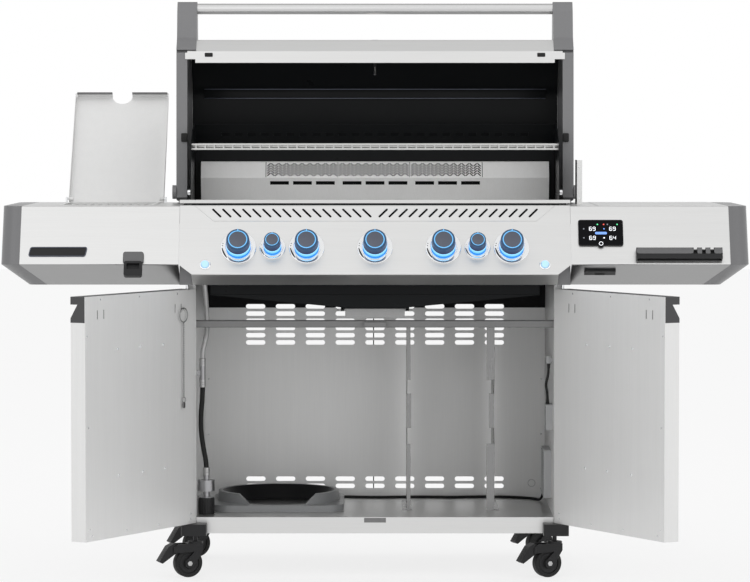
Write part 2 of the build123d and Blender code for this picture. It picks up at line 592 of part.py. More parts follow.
# Fixed rear hood: cheeks and a folded back, standing on the firebox rim
cheek_back = box_back_inner + CHEEK_SHEET
cheek = prism([(CHEEK_FRONT, BOX_TOP), (CHEEK_FRONT + 15, CHEEK_TOP), (PIVOT_Y - 15, CHEEK_TOP + 41),
               (cheek_back - 50, HOOD_BACK_TOP), (cheek_back, HOOD_BACK_TOP - 72), (cheek_back, BOX_TOP)],
              CHEEK_INNER, CHEEK_INNER + CHEEK_SHEET)
cheek -= rod((CHEEK_INNER - 1, PIVOT_Y, PIVOT_Z), (HOOD_HALF, PIVOT_Y, PIVOT_Z), PIVOT_PIN)
hood_back = folded([(cheek_back, BOX_TOP), (cheek_back, HOOD_BACK_TOP - 72),
                    (cheek_back - 50, HOOD_BACK_TOP)],
                   -CHEEK_INNER, CHEEK_INNER, thickness=CHEEK_SHEET)
for i in range(24):
    x = (i - 11.5) * HOOD_VENT_PITCH
    hood_back -= block((x - 11, x + 11), (cheek_back - 80, cheek_back + 5),
                       (HOOD_BACK_TOP - 34, HOOD_BACK_TOP - 24))
nodes["rear_hood"] = both(cheek) + [hood_back]

# Hood, made closed and then opened about its pivot
skin = folded(list(reversed(HOOD_PROFILE)), -HOOD_HALF, HOOD_HALF, bend=list(reversed(HOOD_BENDS)))
lip_step = HOOD_PROFILE[0][0] - 10
for sign in (-1, 1):
    reach = sorted((sign * HOOD_HALF, sign * (HOOD_HALF + 6)))
    skin += block(reach, (HOOD_PROFILE[1][0] + 3, lip_step),
                  (HOOD_PROFILE[0][1], HOOD_PROFILE[0][1] + SHEET))
    reach = sorted((sign * (HOOD_HALF - 22), sign * (HOOD_HALF + 1)))
    skin -= block(reach, (lip_step, HOOD_PROFILE[0][0] + 1),
                  (HOOD_PROFILE[0][1] - 1, HOOD_PROFILE[0][1] + 3))
liner_path = offset_points(list(reversed(HOOD_PROFILE[2:7])), LINER_GAP)
liner_path[-1] = (liner_path[-1][0] + 20, HOOD_PROFILE[2][1] - 10)
hood_liner = folded(liner_path, 2 - HOOD_HALF, HOOD_HALF - 2, bend=[20, 60, 40])

lean = atan2(HOOD_PROFILE[3][0] - HOOD_PROFILE[2][0], HOOD_PROFILE[3][1] - HOOD_PROFILE[2][1])
dial_y = HOOD_PROFILE[2][0] + (DIAL_Z - HOOD_PROFILE[2][1]) * tan(lean)
dial_plane = Plane(origin=(0, dial_y, DIAL_Z), x_dir=(1, 0, 0), z_dir=(0, -cos(lean), sin(lean)))
rise = (Align.CENTER, Align.CENTER, Align.MIN)
dial = Cylinder(DIAL_RADIUS, 12, align=rise)
dial = fillet(dial.edges().group_by(Axis.Z)[-1], 3)
dial -= Pos(0, 0, 10) * Cylinder(DIAL_RADIUS - 6, 5, align=rise)
dial += Pos(0, 0, -80) * Cylinder(4, 81, align=rise)
probe_hole = dial_plane * (Pos(0, 0, -40) * Cylinder(4, 45, align=rise))
skin -= probe_hole
hood_liner -= probe_hole
nodes["lid_skin"] = [opened(skin)]
nodes["lid_liner"] = [opened(hood_liner)]
nodes["lid_thermometer"] = [opened(dial_plane * dial)]

heel = PIVOT_Y + 22
heel_top = PIVOT_Z + 110
casting_points = [(-36, CASTING_LOW)] + offset_points(HOOD_PROFILE[2:], 2) \
    + [(heel, heel_top), (heel, CASTING_LOW)]
casting_bends = [6, 6, 50, 80, 30, 6, 6, 20, 16]
inner_bends = [4, 4, 46, 76, 26, 4, 4, 16, 12]
hood_outline = prism(HOOD_PROFILE, HOOD_HALF - 60, HOOD_HALF, bends=[0] + HOOD_BENDS + [0])
casting_outer = HOOD_HALF + CASTING_WIDTH
inner_points = [(-22, CASTING_LOW + CASTING_WALL)] + offset_points(HOOD_PROFILE[2:], -3) \
    + [(heel - CASTING_WALL, heel_top), (heel - CASTING_WALL, CASTING_LOW + CASTING_WALL)]
casting = prism(casting_points, HOOD_HALF, casting_outer, bends=casting_bends)
casting -= prism(inner_points, HOOD_HALF - 1, casting_outer - CASTING_WALL, bends=inner_bends)
casting += rod((HOOD_HALF, PIVOT_Y, PIVOT_Z), (casting_outer + 11, PIVOT_Y, PIVOT_Z), 19) \
    - block((HOOD_HALF - 1, casting_outer), (PIVOT_Y - 40, PIVOT_Y + 40), (PIVOT_Z - 40, CASTING_LOW))
ear_points = [(-44, BOX_TOP + 6), (-82, BOX_TOP + 41), (HANDLE_Y + 10, HANDLE_Z - 30),
              (HANDLE_Y - 19, HANDLE_Z - 14), (HANDLE_Y - 19, HANDLE_Z + 14), (HANDLE_Y + 4, HANDLE_Z + 28),
              (-50, HANDLE_Z + 46)]
ear = prism(ear_points, EAR_INNER, casting_outer, bends=[2, 10, 16, 12, 12, 16, 2])
ear -= hood_outline
ear -= prism(inner_points, HOOD_HALF - 1, casting_outer - CASTING_WALL, bends=inner_bends)
casting += ear
casting -= rod((HOOD_HALF - 1, PIVOT_Y, PIVOT_Z), (casting_outer + 12, PIVOT_Y, PIVOT_Z), PIVOT_PIN + PLAY)
nodes["lid_castings"] = both(opened(casting))
tube = rod((-EAR_INNER, HANDLE_Y, HANDLE_Z), (EAR_INNER, HANDLE_Y, HANDLE_Z), HANDLE_RADIUS)
tube -= rod((-EAR_INNER, HANDLE_Y, HANDLE_Z), (EAR_INNER, HANDLE_Y, HANDLE_Z), HANDLE_RADIUS - 2)
nodes["lid_handle"] = [opened(tube)]

# Control panel with vents, and the trim strip along the firebox rim
panel_path = [(PANEL_TOP[0] + 18, PANEL_TOP[1]), PANEL_TOP, PANEL_BOTTOM, PANEL_RETURN,
              (PANEL_RETURN[0] + 6, PANEL_RETURN[1])]
panel = folded(panel_path, -PANEL_HALF, PANEL_HALF)
corner = make_face(Polyline((PANEL_HALF + 1, CORNER_Z), (PANEL_HALF, CORNER_Z), (CORNER_X, PANEL_BOTTOM[1]),
                            (CORNER_X, BODY_LOW - 76), (PANEL_HALF + 1, BODY_LOW - 76), close=True))
for piece in both(Pos(0, 100, 0) * extrude(Plane.XZ * corner, 300)):
    panel -= piece
vent_cut = []
vent_face = SlotCenterToCenter(28, 5.5)
for i in range(VENTS):
    x = VENT_FIRST + i * VENT_PITCH
    for sign, turn in ((-1, -46), (1, 46)):
        place = panel_plane(sign * x, VENT_Z)
        vent_cut.append(extrude(place * (Rot(0, 0, turn) * vent_face), 3 * SHEET, both=True))
for cut in vent_cut:
    panel -= cut
for x in list(LARGE_KNOBS.values()) + list(SMALL_KNOBS.values()):
    panel -= on_panel(x, KNOB_Z, KNOB_STEM + 3, -4, 4)
for x in (-BUTTON_X, BUTTON_X):
    panel -= on_panel(x, BUTTON_Z, BUTTON_RADIUS + 1, -4, 4)
trim = block((-PANEL_HALF - 2, PANEL_HALF + 2), (BOX_FRONT - 3, BOX_FRONT + 9), (BOX_TOP, BOX_TOP + 9))
nodes["control_panel"] = [panel, trim]

# Bezels, knobs and their valves on the gas pipe
bezels, valves = [], []
pipe_plane = panel_plane(0, KNOB_Z)
pipe_middle = pipe_plane.from_local_coords((0, -VALVE_RADIUS - PIPE_RADIUS + 2, -56))
pipe_ends = [(HOSE_X - 6, pipe_middle.Y, pipe_middle.Z), (PANEL_HALF - 95, pipe_middle.Y, pipe_middle.Z)]
pipe = rod(pipe_ends[0], pipe_ends[1], PIPE_RADIUS)
for name, x in list(LARGE_KNOBS.items()) + list(SMALL_KNOBS.items()):
    large = name in LARGE_KNOBS
    bezel_r = BEZEL_RADIUS if large else SMALL_BEZEL_RADIUS
    knob_r = KNOB_RADIUS if large else SMALL_KNOB_RADIUS
    bezel = Cylinder(bezel_r, 5, align=rise)
    bezel = fillet(bezel.edges().group_by(Axis.Z)[-1], 2)
    bezel += Cylinder(knob_r + 5, 9, align=rise)
    bezel -= Pos(0, 0, 5) * Cylinder(knob_r + 2, 9, align=rise)
    bezel -= Cylinder(KNOB_STEM + 3, 40)
    place = panel_plane(x, KNOB_Z)
    bezels.append(place * bezel)
    body = Pos(0, 0, KNOB_BACK) * Cone(knob_r, knob_r - 2, KNOB_FACE - KNOB_BACK, align=rise)
    body = fillet(body.edges().group_by(Axis.Z)[-1], 2.5)
    body += Pos(0, 0, -42) * Cylinder(KNOB_STEM, 42 + KNOB_BACK + 1, align=rise)
    nodes["knob_" + name] = [place * body]
    valve = on_panel(x, KNOB_Z, VALVE_RADIUS, -70, -22)
    if large:
        valve += rod((x, -32, BURNER_Z), (x, BOX_FRONT - 5, BURNER_Z), 4)
    valve -= on_panel(x, KNOB_Z, KNOB_STEM + PLAY, -43, -20)
    valves.append(valve - pipe)
gap_y, gap_z = (BOX_FRONT + DOOR_BACK) / 2, (WALL_TOP + DOOR_TOP) / 2
through_gap = Vector(0, gap_y - pipe_middle.Y, gap_z - pipe_middle.Z).normalized()
pipe_end = Vector(HOSE_X, pipe_middle.Y, pipe_middle.Z)
elbow = rod(pipe_end, pipe_end + through_gap * ELBOW, 9)
for x in (-STRAP_X, STRAP_X):
    pipe += block((x - 10, x + 10), (pipe_middle.Y, BOX_FRONT), (pipe_middle.Z - 3, pipe_middle.Z + 3))
nodes["knob_bezels"] = bezels
nodes["gas_manifold"] = [pipe + elbow] + valves

for name, x in (("left", -BUTTON_X), ("right", BUTTON_X)):
    head = Pos(0, 0, -14) * Cylinder(BUTTON_RADIUS, 20, align=rise)
    head = fillet(head.edges().group_by(Axis.Z)[-1], 1.5)
    nodes["button_" + name] = [panel_plane(x, BUTTON_Z) * head]

# Side shelves: folded sheet on two rails from the firebox, and rounded end caps
shelf_y = panel_y(SHELF_TOP)
edge_y = panel_y(SHELF_EDGE_Z)
shelf_path = [(SHELF_BACK, SHELF_TOP - 60), (SHELF_BACK, SHELF_TOP), (shelf_y, SHELF_TOP),
              (edge_y, SHELF_EDGE_Z), (SHELF_UNDER_Y, SHELF_UNDER), (SHELF_UNDER_Y + 60, SHELF_UNDER)]
shelf = folded(shelf_path, PANEL_HALF + GAP, SHELF_TIP)
beyond = make_face(Polyline((SHELF_SEAM, SHELF_TOP + 9), (SHELF_SEAM, SHELF_EDGE_Z),
                            (SEAM_UNDER, SHELF_UNDER), (SEAM_UNDER, SHELF_UNDER - 9),
                            (SHELF_TIP + 9, SHELF_UNDER - 9),
                            (SHELF_TIP + 9, SHELF_TOP + 9), close=True))
shelf -= Pos(0, SHELF_BACK + 9, 0) * extrude(Plane.XZ * beyond, 900)
for y in (40, SHELF_BACK - 75):
    shelf += block((box_outer, SEAM_UNDER), (y, y + 30), (SHELF_TOP - 40, SHELF_TOP - SHEET))

side_hole = block(SIDE_TRAY_X, SIDE_TRAY_Y, (SHELF_TOP - SIDE_DEPTH - 20, SHELF_TOP + 1))
left_shelf = mirrored(shelf) - side_hole
deck = block((PANEL_HALF + 75, SHELF_SEAM - 15), (0, SHELF_BACK - 30), (SHELF_TOP, SHELF_TOP + 1))
right_shelf = shelf + deck
bracket = block((BRACKET_X, BRACKET_X + SHEET), (210, 300), (SHELF_TOP, BRACKET_TOP))
bracket += block((BRACKET_X, BRACKET_X + 14), (210, 210 + SHEET), (SHELF_TOP, BRACKET_TOP))
bracket += block((BRACKET_X, BRACKET_X + 14), (210, 300), (SHELF_TOP, SHELF_TOP + SHEET))
BOLTS = [(255, BRACKET_TOP - 30), (255, BRACKET_TOP - 90)]
for y, z in BOLTS:
    bracket -= rod((BRACKET_X - 1, y, z), (BRACKET_X + 3, y, z), 3.3)
nodes["side_shelves"] = [left_shelf, right_shelf, bracket]


def cap_section(x0, x1, y0, y1, z, radius):
    flat = Polyline((x0, y0), (x1, y0), (x1, y1), (x0, y1), close=True)
    face = make_face(flat)
    corners = face.vertices().group_by(Axis.X)[-1]
    return Pos(0, 0, z) * fillet(corners, radius)


def cap_body(inset):
    r = CAP_RADIUS - inset
    top = cap_section(SHELF_SEAM, SHELF_TIP - inset, shelf_y + inset, SHELF_BACK - inset,
                      SHELF_TOP - inset, r)
    edge = cap_section(SHELF_SEAM, SHELF_TIP - inset, edge_y + inset, SHELF_BACK - inset, SHELF_EDGE_Z, r)
    under = cap_section(SEAM_UNDER, TIP_UNDER - inset, SHELF_UNDER_Y + inset, SHELF_BACK - inset,
                        SHELF_UNDER + inset, r / 2)
    return loft([under, edge], ruled=True) + loft([edge, top], ruled=True)


cap = cap_body(0) - cap_body(CAP_WALL)
end_bracket = block((CORNER_X, PANEL_HALF), (-62, BOX_FRONT), (SHELF_UNDER + 2, CORNER_Z))
end_bracket -= block((CORNER_X + 3, PANEL_HALF - 3), (-52, BOX_FRONT - 3), (SHELF_UNDER + 16, CORNER_Z + 1))
end_bracket -= rod((HINGE_X, HINGE_Y, SHELF_UNDER), (HINGE_X, HINGE_Y, SHELF_UNDER + 16), HINGE_PIN)
nodes["shelf_end_caps"] = both(cap) + both(end_bracket)

# Hinge pins: doors, hood and the lugs of the side burner lid
door_pins = both(rod((HINGE_X, HINGE_Y, SOCKET_TOP - 16), (HINGE_X, HINGE_Y, DOOR_BOTTOM + 18), HINGE_PIN))
door_pins += both(rod((HINGE_X, HINGE_Y, DOOR_TOP - 14), (HINGE_X, HINGE_Y, SHELF_UNDER + 16), HINGE_PIN))
hood_pins = both(rod((CHEEK_INNER, PIVOT_Y, PIVOT_Z), (casting_outer + 8, PIVOT_Y, PIVOT_Z), PIVOT_PIN))
lugs = []
for sign in (-1, 1):
    outer = SIDE_X + sign * (SIDE_WIDTH / 2 + 8)
    inner = SIDE_X + sign * (SIDE_WIDTH / 2 + 2)
    lug = block(sorted((outer, inner)), (SIDE_PIVOT_Y - 10, SIDE_PIVOT_Y + 3),
                (SHELF_TOP, SIDE_PIVOT_Z + 6))
    tip = SIDE_X + sign * (SIDE_WIDTH / 2 - 9)
    lug += rod((inner, SIDE_PIVOT_Y, SIDE_PIVOT_Z), (tip, SIDE_PIVOT_Y, SIDE_PIVOT_Z), SIDE_PIN)
    lugs.append(lug)
nodes["hinge_pins"] = door_pins + hood_pins + lugs

# Side burner: drop-in tray with a burner block, and its lid
tray_x, tray_y = SIDE_TRAY_X, SIDE_TRAY_Y
tray_low = SHELF_TOP - SIDE_DEPTH
tray = block(tray_x, tray_y, (tray_low, SHELF_TOP))
tray += block((tray_x[0] - 6, tray_x[1] + 6), (tray_y[0] - 6, tray_y[1] + 6),
              (SHELF_TOP, SHELF_TOP + TRAY_SHEET))
tray -= block((tray_x[0] + TRAY_SHEET, tray_x[1] - TRAY_SHEET),
              (tray_y[0] + TRAY_SHEET, tray_y[1] - TRAY_SHEET), (tray_low + TRAY_SHEET, SHELF_TOP + 9))
for ledge in ((tray_y[0], tray_y[0] + 10), (tray_y[1] - 10, tray_y[1])):
    tray += block(tray_x, ledge, (side_seat - 3, side_seat))
burner = block((tray_x[0] + 45, tray_x[1] - 45), (tray_y[0] + 60, tray_y[1] - 60),
               (tray_low + TRAY_SHEET, tray_low + 28))
nodes["side_burner"] = [tray, burner]

lid_x = (SIDE_X - SIDE_WIDTH / 2, SIDE_X + SIDE_WIDTH / 2)
lid_y = (SIDE_PIVOT_Y - SIDE_LENGTH, SIDE_PIVOT_Y + 7)
lid = block(lid_x, lid_y, (SIDE_LID_LOW, SIDE_LID_TOP))
lid = fillet(lid.edges().filter_by(Axis.Z).group_by(Axis.Y)[0], 8)
lid -= block((lid_x[0] + SHEET, lid_x[1] - SHEET), (lid_y[0] + SHEET, lid_y[1] - SHEET),
             (SIDE_LID_LOW - 1, SIDE_LID_TOP - SHEET))
lid -= Pos(SIDE_X, lid_y[0], SIDE_PIVOT_Z) * Cylinder(28, 60)
lid -= block(lid_x, (SIDE_PIVOT_Y + 3, lid_y[1] + 1), (SIDE_LID_LOW - 1, SIDE_LID_TOP - 3))
for sign in (-1, 1):
    outer = SIDE_X + sign * SIDE_WIDTH / 2
    lid += rod((outer - sign * SHEET / 2, SIDE_PIVOT_Y, SIDE_PIVOT_Z),
               (outer - sign * 12, SIDE_PIVOT_Y, SIDE_PIVOT_Z), 5.5)
    lid -= rod((outer + sign, SIDE_PIVOT_Y, SIDE_PIVOT_Z), (outer - sign * 13, SIDE_PIVOT_Y, SIDE_PIVOT_Z),
               SIDE_PIN + PLAY)
nodes["side_burner_lid"] = [lid.rotate(Axis((0, SIDE_PIVOT_Y, SIDE_PIVOT_Z), (1, 0, 0)), -SIDE_OPEN)]

# Drip tray with runners, and the grease pan that slides in them
tray_flange = WALL_TOP - TRAY_SHEET
funnel = [(-TRAY_HALF, TRAY_EDGE), (-PAN_HALF, TRAY_LOW), (PAN_HALF, TRAY_LOW), (TRAY_HALF, TRAY_EDGE)]
tray_path = [(-TRAY_HALF - 18, tray_flange), (-TRAY_HALF, tray_flange)] + funnel
tray_path += [(TRAY_HALF, tray_flange), (TRAY_HALF + 18, tray_flange)]
drip = folded_deep(tray_path, TRAY_FRONT, TRAY_BACK, thickness=TRAY_SHEET)
tray_end = make_face(Polyline(*offset_points(funnel, TRAY_SHEET / 2), (TRAY_HALF, WALL_TOP),
                              (-TRAY_HALF, WALL_TOP), close=True))
for y in (TRAY_FRONT + TRAY_SHEET, TRAY_BACK):
    drip += Pos(0, y, 0) * extrude(Plane.XZ * tray_end, TRAY_SHEET)
drip += block((-TRAY_HALF, TRAY_HALF), (TRAY_FRONT - 2, TRAY_FRONT), (TRAY_EDGE - 1, TRAY_EDGE + 1))
drip -= rod((0, 240, TRAY_LOW - 5), (0, 240, TRAY_LOW + 9), 30)
runner_x = PAN_HALF + PAN_FLANGE + 2
lip_top = PAN_TOP - TRAY_SHEET - 0.2
runner_y = (TRAY_FRONT + 30, TRAY_BACK - 10)
runner = block((runner_x, runner_x + TRAY_SHEET), runner_y, (lip_top - TRAY_SHEET, TRAY_LOW + 1.5))
runner += block((PAN_HALF + 2, runner_x + TRAY_SHEET), runner_y, (lip_top - TRAY_SHEET, lip_top))
for piece in both(runner):
    drip += piece
nodes["drip_tray"] = [drip]
pan_y = (PAN_FRONT, PAN_FRONT + PAN_LENGTH)
pan = block((-PAN_HALF, PAN_HALF), pan_y, (PAN_BOTTOM, PAN_TOP))
pan += block((-PAN_HALF - PAN_FLANGE, PAN_HALF + PAN_FLANGE), pan_y, (PAN_TOP - TRAY_SHEET, PAN_TOP))
pan -= block((TRAY_SHEET - PAN_HALF, PAN_HALF - TRAY_SHEET), (pan_y[0] + TRAY_SHEET, pan_y[1] - TRAY_SHEET),
             (PAN_BOTTOM + TRAY_SHEET, PAN_TOP + 1))
nodes["grease_pan"] = [pan]

# Fittings: bottle opener, tool hook rail, port cover and the display
lip = panel_plane(OPENER_X, SHELF_EDGE_Z + 16)
opener = lip * extrude(RectangleRounded(54, 34, 7), 6)
opener += lip * (Pos(0, -34, 0) * extrude(RectangleRounded(48, 42, 6), 14))
opener -= lip * (Pos(0, -28, 4) * Box(34, 17, 20, align=rise))
hooks = panel_plane(RAIL_X, HOOK_Z)
rail_bar = hooks * Box(226, 30, 4, align=rise)
rail_bar += hooks * (Pos(0, 0, 4) * Box(226, 30, 16, align=rise))
rail_bar -= hooks * (Pos(0, -4, 4) * Box(220, 30, 13, align=rise))
for i in range(3):
    rail_bar -= hooks * (Pos(42 + 22 * i, 8, 8) * Box(9, 22, 20, align=rise))
fall = atan2(SHELF_EDGE_Z - SHELF_UNDER, SHELF_UNDER_Y - edge_y)
on_chamfer = edge_y + 34
port_plane = Plane(origin=(PORT_X, on_chamfer, SHELF_EDGE_Z - 34 * tan(fall)), x_dir=(1, 0, 0),
                   z_dir=(0, -sin(fall), -cos(fall)))
port = port_plane * Box(82, 22, 6, align=rise)
nodes["shelf_fittings"] = [opener, rail_bar, port]
screen = panel_plane(DISPLAY_X, DISPLAY_Z) * extrude(RectangleRounded(118, 74, 6), 5)
key = panel_plane(DISPLAY_X, DISPLAY_Z - 29) * Cylinder(10, 7, align=rise)
nodes["display_module"] = [screen + key]

# Gas line: hose in two lengths with a coupling, and the regulator standing on the floor
coupling_x, coupling_y = HOSE_X - 9, 64
hose_start = pipe_end + through_gap * ELBOW
upper_route = [tuple(hose_start), (HOSE_X, gap_y - 2, gap_z), (HOSE_X + 3, gap_y + 66, DOOR_TOP - 62),
               (HOSE_X + 4, coupling_y + 3, DOOR_TOP - 120), (HOSE_X - 5, coupling_y + 3, DOOR_TOP - 155),
               (coupling_x, coupling_y, COUPLING_TOP + 30), (coupling_x, coupling_y, COUPLING_TOP)]
drop = COUPLING_LOW - REGULATOR_TOP
lower_route = [(coupling_x, coupling_y, COUPLING_LOW),
               (coupling_x, coupling_y, COUPLING_LOW - 0.156 * drop),
               (HOSE_X - 14, coupling_y + 10, COUPLING_LOW - 0.344 * drop),
               (HOSE_X - 15, REGULATOR_Y + 2, COUPLING_LOW - 0.539 * drop),
               (HOSE_X - 8, REGULATOR_Y + 4, COUPLING_LOW - 0.734 * drop),
               (HOSE_X, REGULATOR_Y, COUPLING_LOW - 0.867 * drop), (HOSE_X, REGULATOR_Y, REGULATOR_TOP)]
hoses = []
for label, route in (("upper hose", upper_route), ("lower hose", lower_route)):
    hose, tightest, length = cord(route, HOSE)
    print(label, "tightest bend", round(tightest), "length", round(length))
    hoses.append(hose)
nodes["gas_hose"] = hoses
coupling = rod((coupling_x, coupling_y, COUPLING_LOW), (coupling_x, coupling_y, COUPLING_TOP), 8)
coupling += block((-INNER_HALF, coupling_x), (coupling_y - 5, coupling_y + 5),
                  (COUPLING_LOW + 12, COUPLING_TOP - 12))
regulator = rod((HOSE_X, REGULATOR_Y, FLOOR + 46), (HOSE_X, REGULATOR_Y, REGULATOR_TOP), 8)
regulator += rod((HOSE_X, REGULATOR_Y, FLOOR + 62), (HOSE_X, REGULATOR_Y, FLOOR + 92), 22)
nut = rod((HOSE_X, REGULATOR_Y, FLOOR), (HOSE_X, REGULATOR_Y, FLOOR + 46), 20)
nodes["gas_regulator"] = [coupling, regulator, nut]

# Power: two boxes on the right wall, a floor lead to the inlet on the back panel and a wall lead
lead_x = INNER_HALF - 10
pack_back = CABINET_DEPTH - 223
gland_y = pack_back - 190
relay_top = PACK_TOP + 129
gland_z = relay_top + 110
pack = block((INNER_HALF - 20, INNER_HALF), (pack_back - 140, pack_back), (PACK_BOTTOM, PACK_TOP))
relay = block((INNER_HALF - 18, INNER_HALF), (pack_back - 210, pack_back - 140),
              (relay_top - 68, relay_top))
gland = rod((lead_x, gland_y, gland_z), (lead_x, gland_y, gland_z + 20), 8)
gland += block((lead_x, INNER_HALF), (gland_y - 6, gland_y + 6), (gland_z + 4, gland_z + 16))
inlet_low = CABINET_DEPTH - 18
inlet = block((INLET_X - 20, INLET_X + 20), (inlet_low, CABINET_DEPTH), (FLOOR, FLOOR + 36))
nodes["power_supply"] = [pack, relay, gland, inlet]
lie = FLOOR + LEAD / 2
wall_y = CABINET_DEPTH - LEAD
floor_route = [(lead_x, pack_back, PACK_BOTTOM + 14), (lead_x, pack_back + 55, PACK_BOTTOM + 14),
               (lead_x - 4, wall_y - 110, lie)]
for along, away in ((22, 62), (58, 32), (104, 16), (154, 12), (204, 18), (254, 26), (304, 20), (354, 15),
                    (404, 21), (454, 28), (504, 22), (554, 13), (604, 8), (654, 6), (702, 5)):
    floor_route.append((lead_x - along, wall_y - away, lie))
floor_route += [(INLET_X + 56, wall_y - 3, lie), (INLET_X + 20, wall_y - 3, lie)]
wall_route = [(lead_x, gland_y, gland_z), (lead_x, gland_y, gland_z - 30),
              (lead_x - 8, gland_y + 6, gland_z - 56), (lead_x - 2, gland_y + 14, relay_top + 28),
              (lead_x - 2, gland_y + 14, relay_top)]
leads = []
for label, route in (("floor lead", floor_route), ("wall lead", wall_route)):
    lead, tightest, length = cord(route, LEAD)
    print(label, "tightest bend", round(tightest), "length", round(length))
    leads.append(lead)
nodes["power_cord"] = leads

# Centre the whole on the floor and write one file per node
whole = Compound([piece for pieces in nodes.values() for piece in pieces])
bounds = whole.bounding_box()
SHIFT_Y = -(bounds.min.Y + bounds.max.Y) / 2
os.makedirs("parts", exist_ok=True)
for name, pieces in nodes.items():
    placed = [Pos(0, SHIFT_Y, 0) * piece for piece in pieces]
    export_step(Compound(placed), "parts/" + name + ".step")
print(len(nodes), "nodes, shift", round(SHIFT_Y, 2), "size", bounds.size)
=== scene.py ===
import json
import math

import bmesh
import bpy
from mathutils import Matrix, Vector


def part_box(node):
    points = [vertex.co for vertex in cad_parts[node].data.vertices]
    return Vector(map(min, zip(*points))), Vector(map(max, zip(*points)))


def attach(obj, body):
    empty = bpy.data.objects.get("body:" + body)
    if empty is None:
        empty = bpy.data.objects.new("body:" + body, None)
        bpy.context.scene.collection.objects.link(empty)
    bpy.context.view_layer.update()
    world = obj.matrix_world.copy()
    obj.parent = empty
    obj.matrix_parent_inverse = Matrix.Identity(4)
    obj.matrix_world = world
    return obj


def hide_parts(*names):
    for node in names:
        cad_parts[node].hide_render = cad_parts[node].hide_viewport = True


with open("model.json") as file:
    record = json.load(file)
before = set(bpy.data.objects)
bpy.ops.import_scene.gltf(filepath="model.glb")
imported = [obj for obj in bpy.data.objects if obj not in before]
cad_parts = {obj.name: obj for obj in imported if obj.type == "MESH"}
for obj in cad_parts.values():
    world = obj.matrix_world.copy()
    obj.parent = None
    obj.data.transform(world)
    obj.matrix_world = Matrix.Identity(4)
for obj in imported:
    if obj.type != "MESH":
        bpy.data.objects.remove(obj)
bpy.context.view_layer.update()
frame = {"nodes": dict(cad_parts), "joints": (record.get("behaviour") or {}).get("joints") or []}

# Places, in millimetres from the middle of the base pan's front edge, as the model is drawn
FRONT_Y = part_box("base_pan")[0].y
JOINTS = {joint["name"]: joint for joint in frame["joints"]}
UP = Vector((0, 0, 1))
DOWN = Vector((0, 0, -1))
RIGHT = Vector((1, 0, 0))
FRONT = Vector((0, -1, 0))
SIDES = (("left", -1), ("right", 1))
CORNERS = ("front_left", "front_right", "rear_left", "rear_right")
LARGE_KNOBS = ("far_left", "near_left", "centre", "near_right", "far_right")
SMALL_KNOBS = ("small_left", "small_right")
LARGE_KNOB_RADIUS, SMALL_KNOB_RADIUS = 32, 23
LARGE_BEZEL_RADIUS, SMALL_BEZEL_RADIUS = 47, 34.5
KNOB_FACE = 54  # knob front above the panel
BEZEL_FACE = 5
COLLAR = (13, 27.5)  # lit collar of a knob, from and to, above the panel
DOOR_OPEN = math.radians(JOINTS["left_door_hinge"]["range_deg"][1])
HOOD_OPEN = math.radians(JOINTS["hood_hinge"]["range_deg"][1])
LINER_FACE = 16  # door liner face behind the hinge axis
HOSE_DIAMETER = 13
LEAD_DIAMETER = 7
REAR_BURNER_LOW = Vector((0, 424, 1053))  # fold of the rear burner's face
REAR_BURNER_HIGH = Vector((0, 440, 1098))
WALL_FRONT = 8  # front edge of the cabinet walls
INNER_HALF = 476  # half of the width between the walls
BACK_FACE = 513  # inside of the back panel
OPENER_X, OPENER_Z = -634, 849
PLATE_X, PLATE_Z = -833, 866
BUTTON_X, BUTTON_Z = 446, 833
DISPLAY_X, DISPLAY_Z = 594, 914
RAIL_X, HOOK_Z = 798, 856
PORT_X, PORT_Y, PORT_Z = 592, -70.85, 814.52  # middle of the port cover
BRACKET_X, BRACKET_FRONT = 547, 210
SIDE_X = -718  # middle of the side burner
CHAIN_ALONG, CHAIN_OUT = 50, 6  # lighter chain from the hinge axis, and off the liner
CHAIN_TOP, CHAIN_LOW = 669, 494
HOOD_LOW = 1000  # lower face of the closed hood's lip
CASTING_LOW = 1003
DIAL_Y, DIAL_Z = -59.5, 1110  # dial on the closed hood
DIAL_LEAN = math.atan2(30, 145)
AXLE_END, HUB_FACE = 21, 10  # from the middle of a wheel along its axle
PAINTED_SHADE_LOW = 688  # lower edge of the back panel's black painted shade
RING_X, RING_Y, RING_DISH = -264, 300, 152  # cylinder ring and the radius of its dish
NUT_X, NUT_Y, NUT_LOW = -452, 82, 155.5


def mm(x, y, z):
    """A drawing point in millimetres as a point of the frame in metres."""
    return Vector((x / 1000, y / 1000 + FRONT_Y, z / 1000))


def facing(origin, normal, up=UP):
    """Matrix of a face: its Z is the normal, its Y points up along the face."""
    z = Vector(normal).normalized()
    x = Vector(up).cross(z).normalized()
    y = z.cross(x)
    return Matrix.Translation(origin) @ Matrix((x, y, z)).transposed().to_4x4()


def shifted(x, y, z=0.0):
    """Matrix of a move in millimetres."""
    return Matrix.Translation((x / 1000, y / 1000, z / 1000))


def polar(radius, degrees):
    """Point at a distance and an angle from the middle."""
    angle = math.radians(degrees)
    return radius * math.cos(angle), radius * math.sin(angle)


def joint_line(name):
    """Point and direction of a joint's axis."""
    return Vector(JOINTS[name]["pos_m"]), Vector(JOINTS[name]["axis"])


PANEL_POINT, PANEL_NORMAL = joint_line("knob_centre_turn")


def on_panel(x, z, above=0.0):
    """Matrix of a place on the tilted front, in millimetres, raised above it."""
    along = PANEL_NORMAL.cross(RIGHT)
    point = PANEL_POINT + along * ((z / 1000 - PANEL_POINT.z) / along.z)
    point.x = x / 1000
    return facing(point + PANEL_NORMAL * (above / 1000), PANEL_NORMAL)


